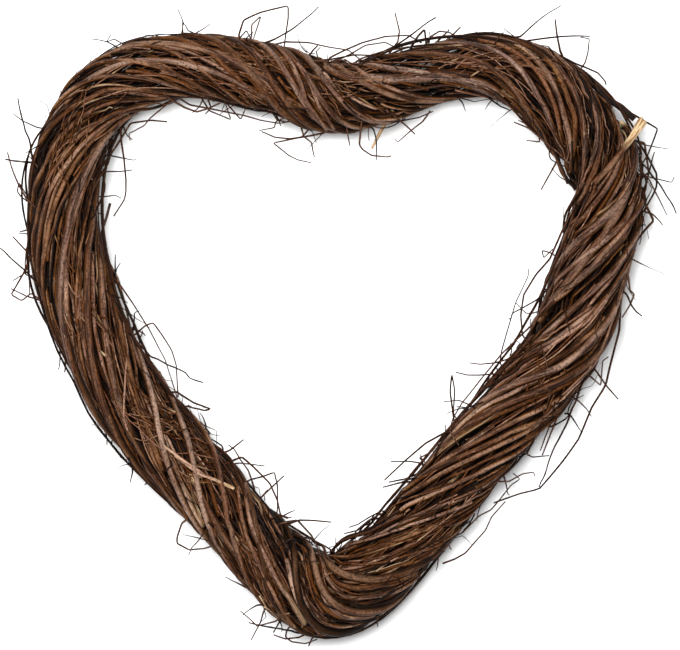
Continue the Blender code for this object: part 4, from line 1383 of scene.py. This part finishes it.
class WREATH_OT_stage(bpy.types.Operator):
    """Set up the floor, the lights and the camera"""

    bl_idname = "wreath.stage"
    bl_label = "Stage"

    def execute(self, context):
        scene = context.scene
        colours, sizes = scene.wreath_colours, scene.wreath_sizes
        half = 3.0  # half the floor's side
        sensor_width = 36.0  # millimetres
        view_width, view_level = 0.442, 0.033  # metres across the picture, at that height over the floor
        camera_across, camera_up = -0.0005, -0.0026
        fill_share = 0.12  # strength of the fill light as a share of the key light
        scene.view_settings.view_transform = "Standard"
        floor_mesh = bpy.data.meshes.new("floor")
        floor_mesh.from_pydata(
            [(-half, -half, 0), (half, -half, 0), (half, half, 0), (-half, half, 0)], [], [(0, 1, 2, 3)]
        )
        floor = bpy.data.objects.new("floor", floor_mesh)
        scene.collection.objects.link(floor)
        # smooth uncoated paper, which spreads the light evenly and has no gloss
        paper = bpy.data.materials.new("matt_paper")
        paper.use_nodes = True
        shader = paper.node_tree.nodes["Principled BSDF"]
        shader.inputs["Base Color"].default_value = (*colours.floor, 1)
        shader.inputs["Roughness"].default_value = 0.9
        floor_mesh.materials.append(paper)
        floor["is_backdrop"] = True
        world = bpy.data.worlds.new("soft_sky")
        world.use_nodes = True
        background = world.node_tree.nodes["Background"]
        background.inputs["Color"].default_value = (1, 1, 1, 1)
        background.inputs["Strength"].default_value = colours.sky
        scene.world = world
        for name, place, size, power in (
            ("key", (-0.17, 0.23, 1.5), 0.55, colours.key),
            ("fill", (0.5, -0.3, 1.5), 1.0, colours.key * fill_share),
        ):
            lamp = bpy.data.lights.new(name, "AREA")
            lamp.size = size
            lamp.energy = power
            light = bpy.data.objects.new(name, lamp)
            light.location = place
            spot = np.array(place) / np.linalg.norm(place)
            light.rotation_euler = (math.acos(spot[2]), 0, math.atan2(spot[1], spot[0]) + math.pi / 2)
            scene.collection.objects.link(light)
        camera_data = bpy.data.cameras.new("camera")
        camera_data.sensor_fit = "HORIZONTAL"
        camera_data.sensor_width = sensor_width
        camera_data.lens = sensor_width * (sizes.camera_height - view_level) / view_width
        camera = bpy.data.objects.new("camera", camera_data)
        camera.location = (camera_across, camera_up, sizes.camera_height)
        scene.collection.objects.link(camera)
        scene.camera = camera
        return {"FINISHED"}


OPERATORS = (
    WREATH_OT_inner_twigs,
    WREATH_OT_bed_twigs,
    WREATH_OT_under_canes,
    WREATH_OT_wound_canes,
    WREATH_OT_filling_canes,
    WREATH_OT_surface_twigs,
    WREATH_OT_tangles,
    WREATH_OT_hand_laid_canes,
    WREATH_OT_loose_twigs,
    WREATH_OT_stage,
)


class WREATH_PT_panel(bpy.types.Panel):
    """Sizes, numbers and steps of the wreath"""

    bl_idname = "WREATH_PT_panel"
    bl_label = "Rattan Wreath"
    bl_space_type = "VIEW_3D"
    bl_region_type = "UI"
    bl_category = "Rattan Wreath"

    def draw(self, context):
        for group in (
            context.scene.wreath_twigs,
            context.scene.wreath_sizes,
            context.scene.wreath_colours,
        ):
            box = self.layout.box()
            for name in group.__annotations__:
                box.prop(group, name)
        for operator in OPERATORS:
            self.layout.operator(operator.bl_idname)


GROUPS = (
    ("wreath_twigs", WreathTwigs),
    ("wreath_sizes", WreathSizes),
    ("wreath_colours", WreathColours),
)


def register():
    """Register the properties, the operators and the panel."""
    for name, group in GROUPS:
        bpy.utils.register_class(group)
        setattr(bpy.types.Scene, name, PointerProperty(type=group))
    for cls in (*OPERATORS, WREATH_PT_panel):
        bpy.utils.register_class(cls)


def unregister():
    """Take them out again, the last one first."""
    for cls in reversed((*OPERATORS, WREATH_PT_panel)):
        bpy.utils.unregister_class(cls)
    for name, group in reversed(GROUPS):
        delattr(bpy.types.Scene, name)
        bpy.utils.unregister_class(group)


def main():
    """Build the wreath, after taking the box round the solids."""
    register()
    solid_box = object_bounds()
    STATE["box"] = np.array(solid_box)
    bpy.ops.wreath.inner_twigs()
    bpy.ops.wreath.bed_twigs()
    bpy.ops.wreath.under_canes()
    bpy.ops.wreath.wound_canes()
    bpy.ops.wreath.filling_canes()
    bpy.ops.wreath.surface_twigs()
    bpy.ops.wreath.tangles()
    bpy.ops.wreath.hand_laid_canes()
    bpy.ops.wreath.loose_twigs()
    bpy.ops.wreath.stage()
    bpy.context.view_layer.update()


if __name__ == "__main__":
    main()
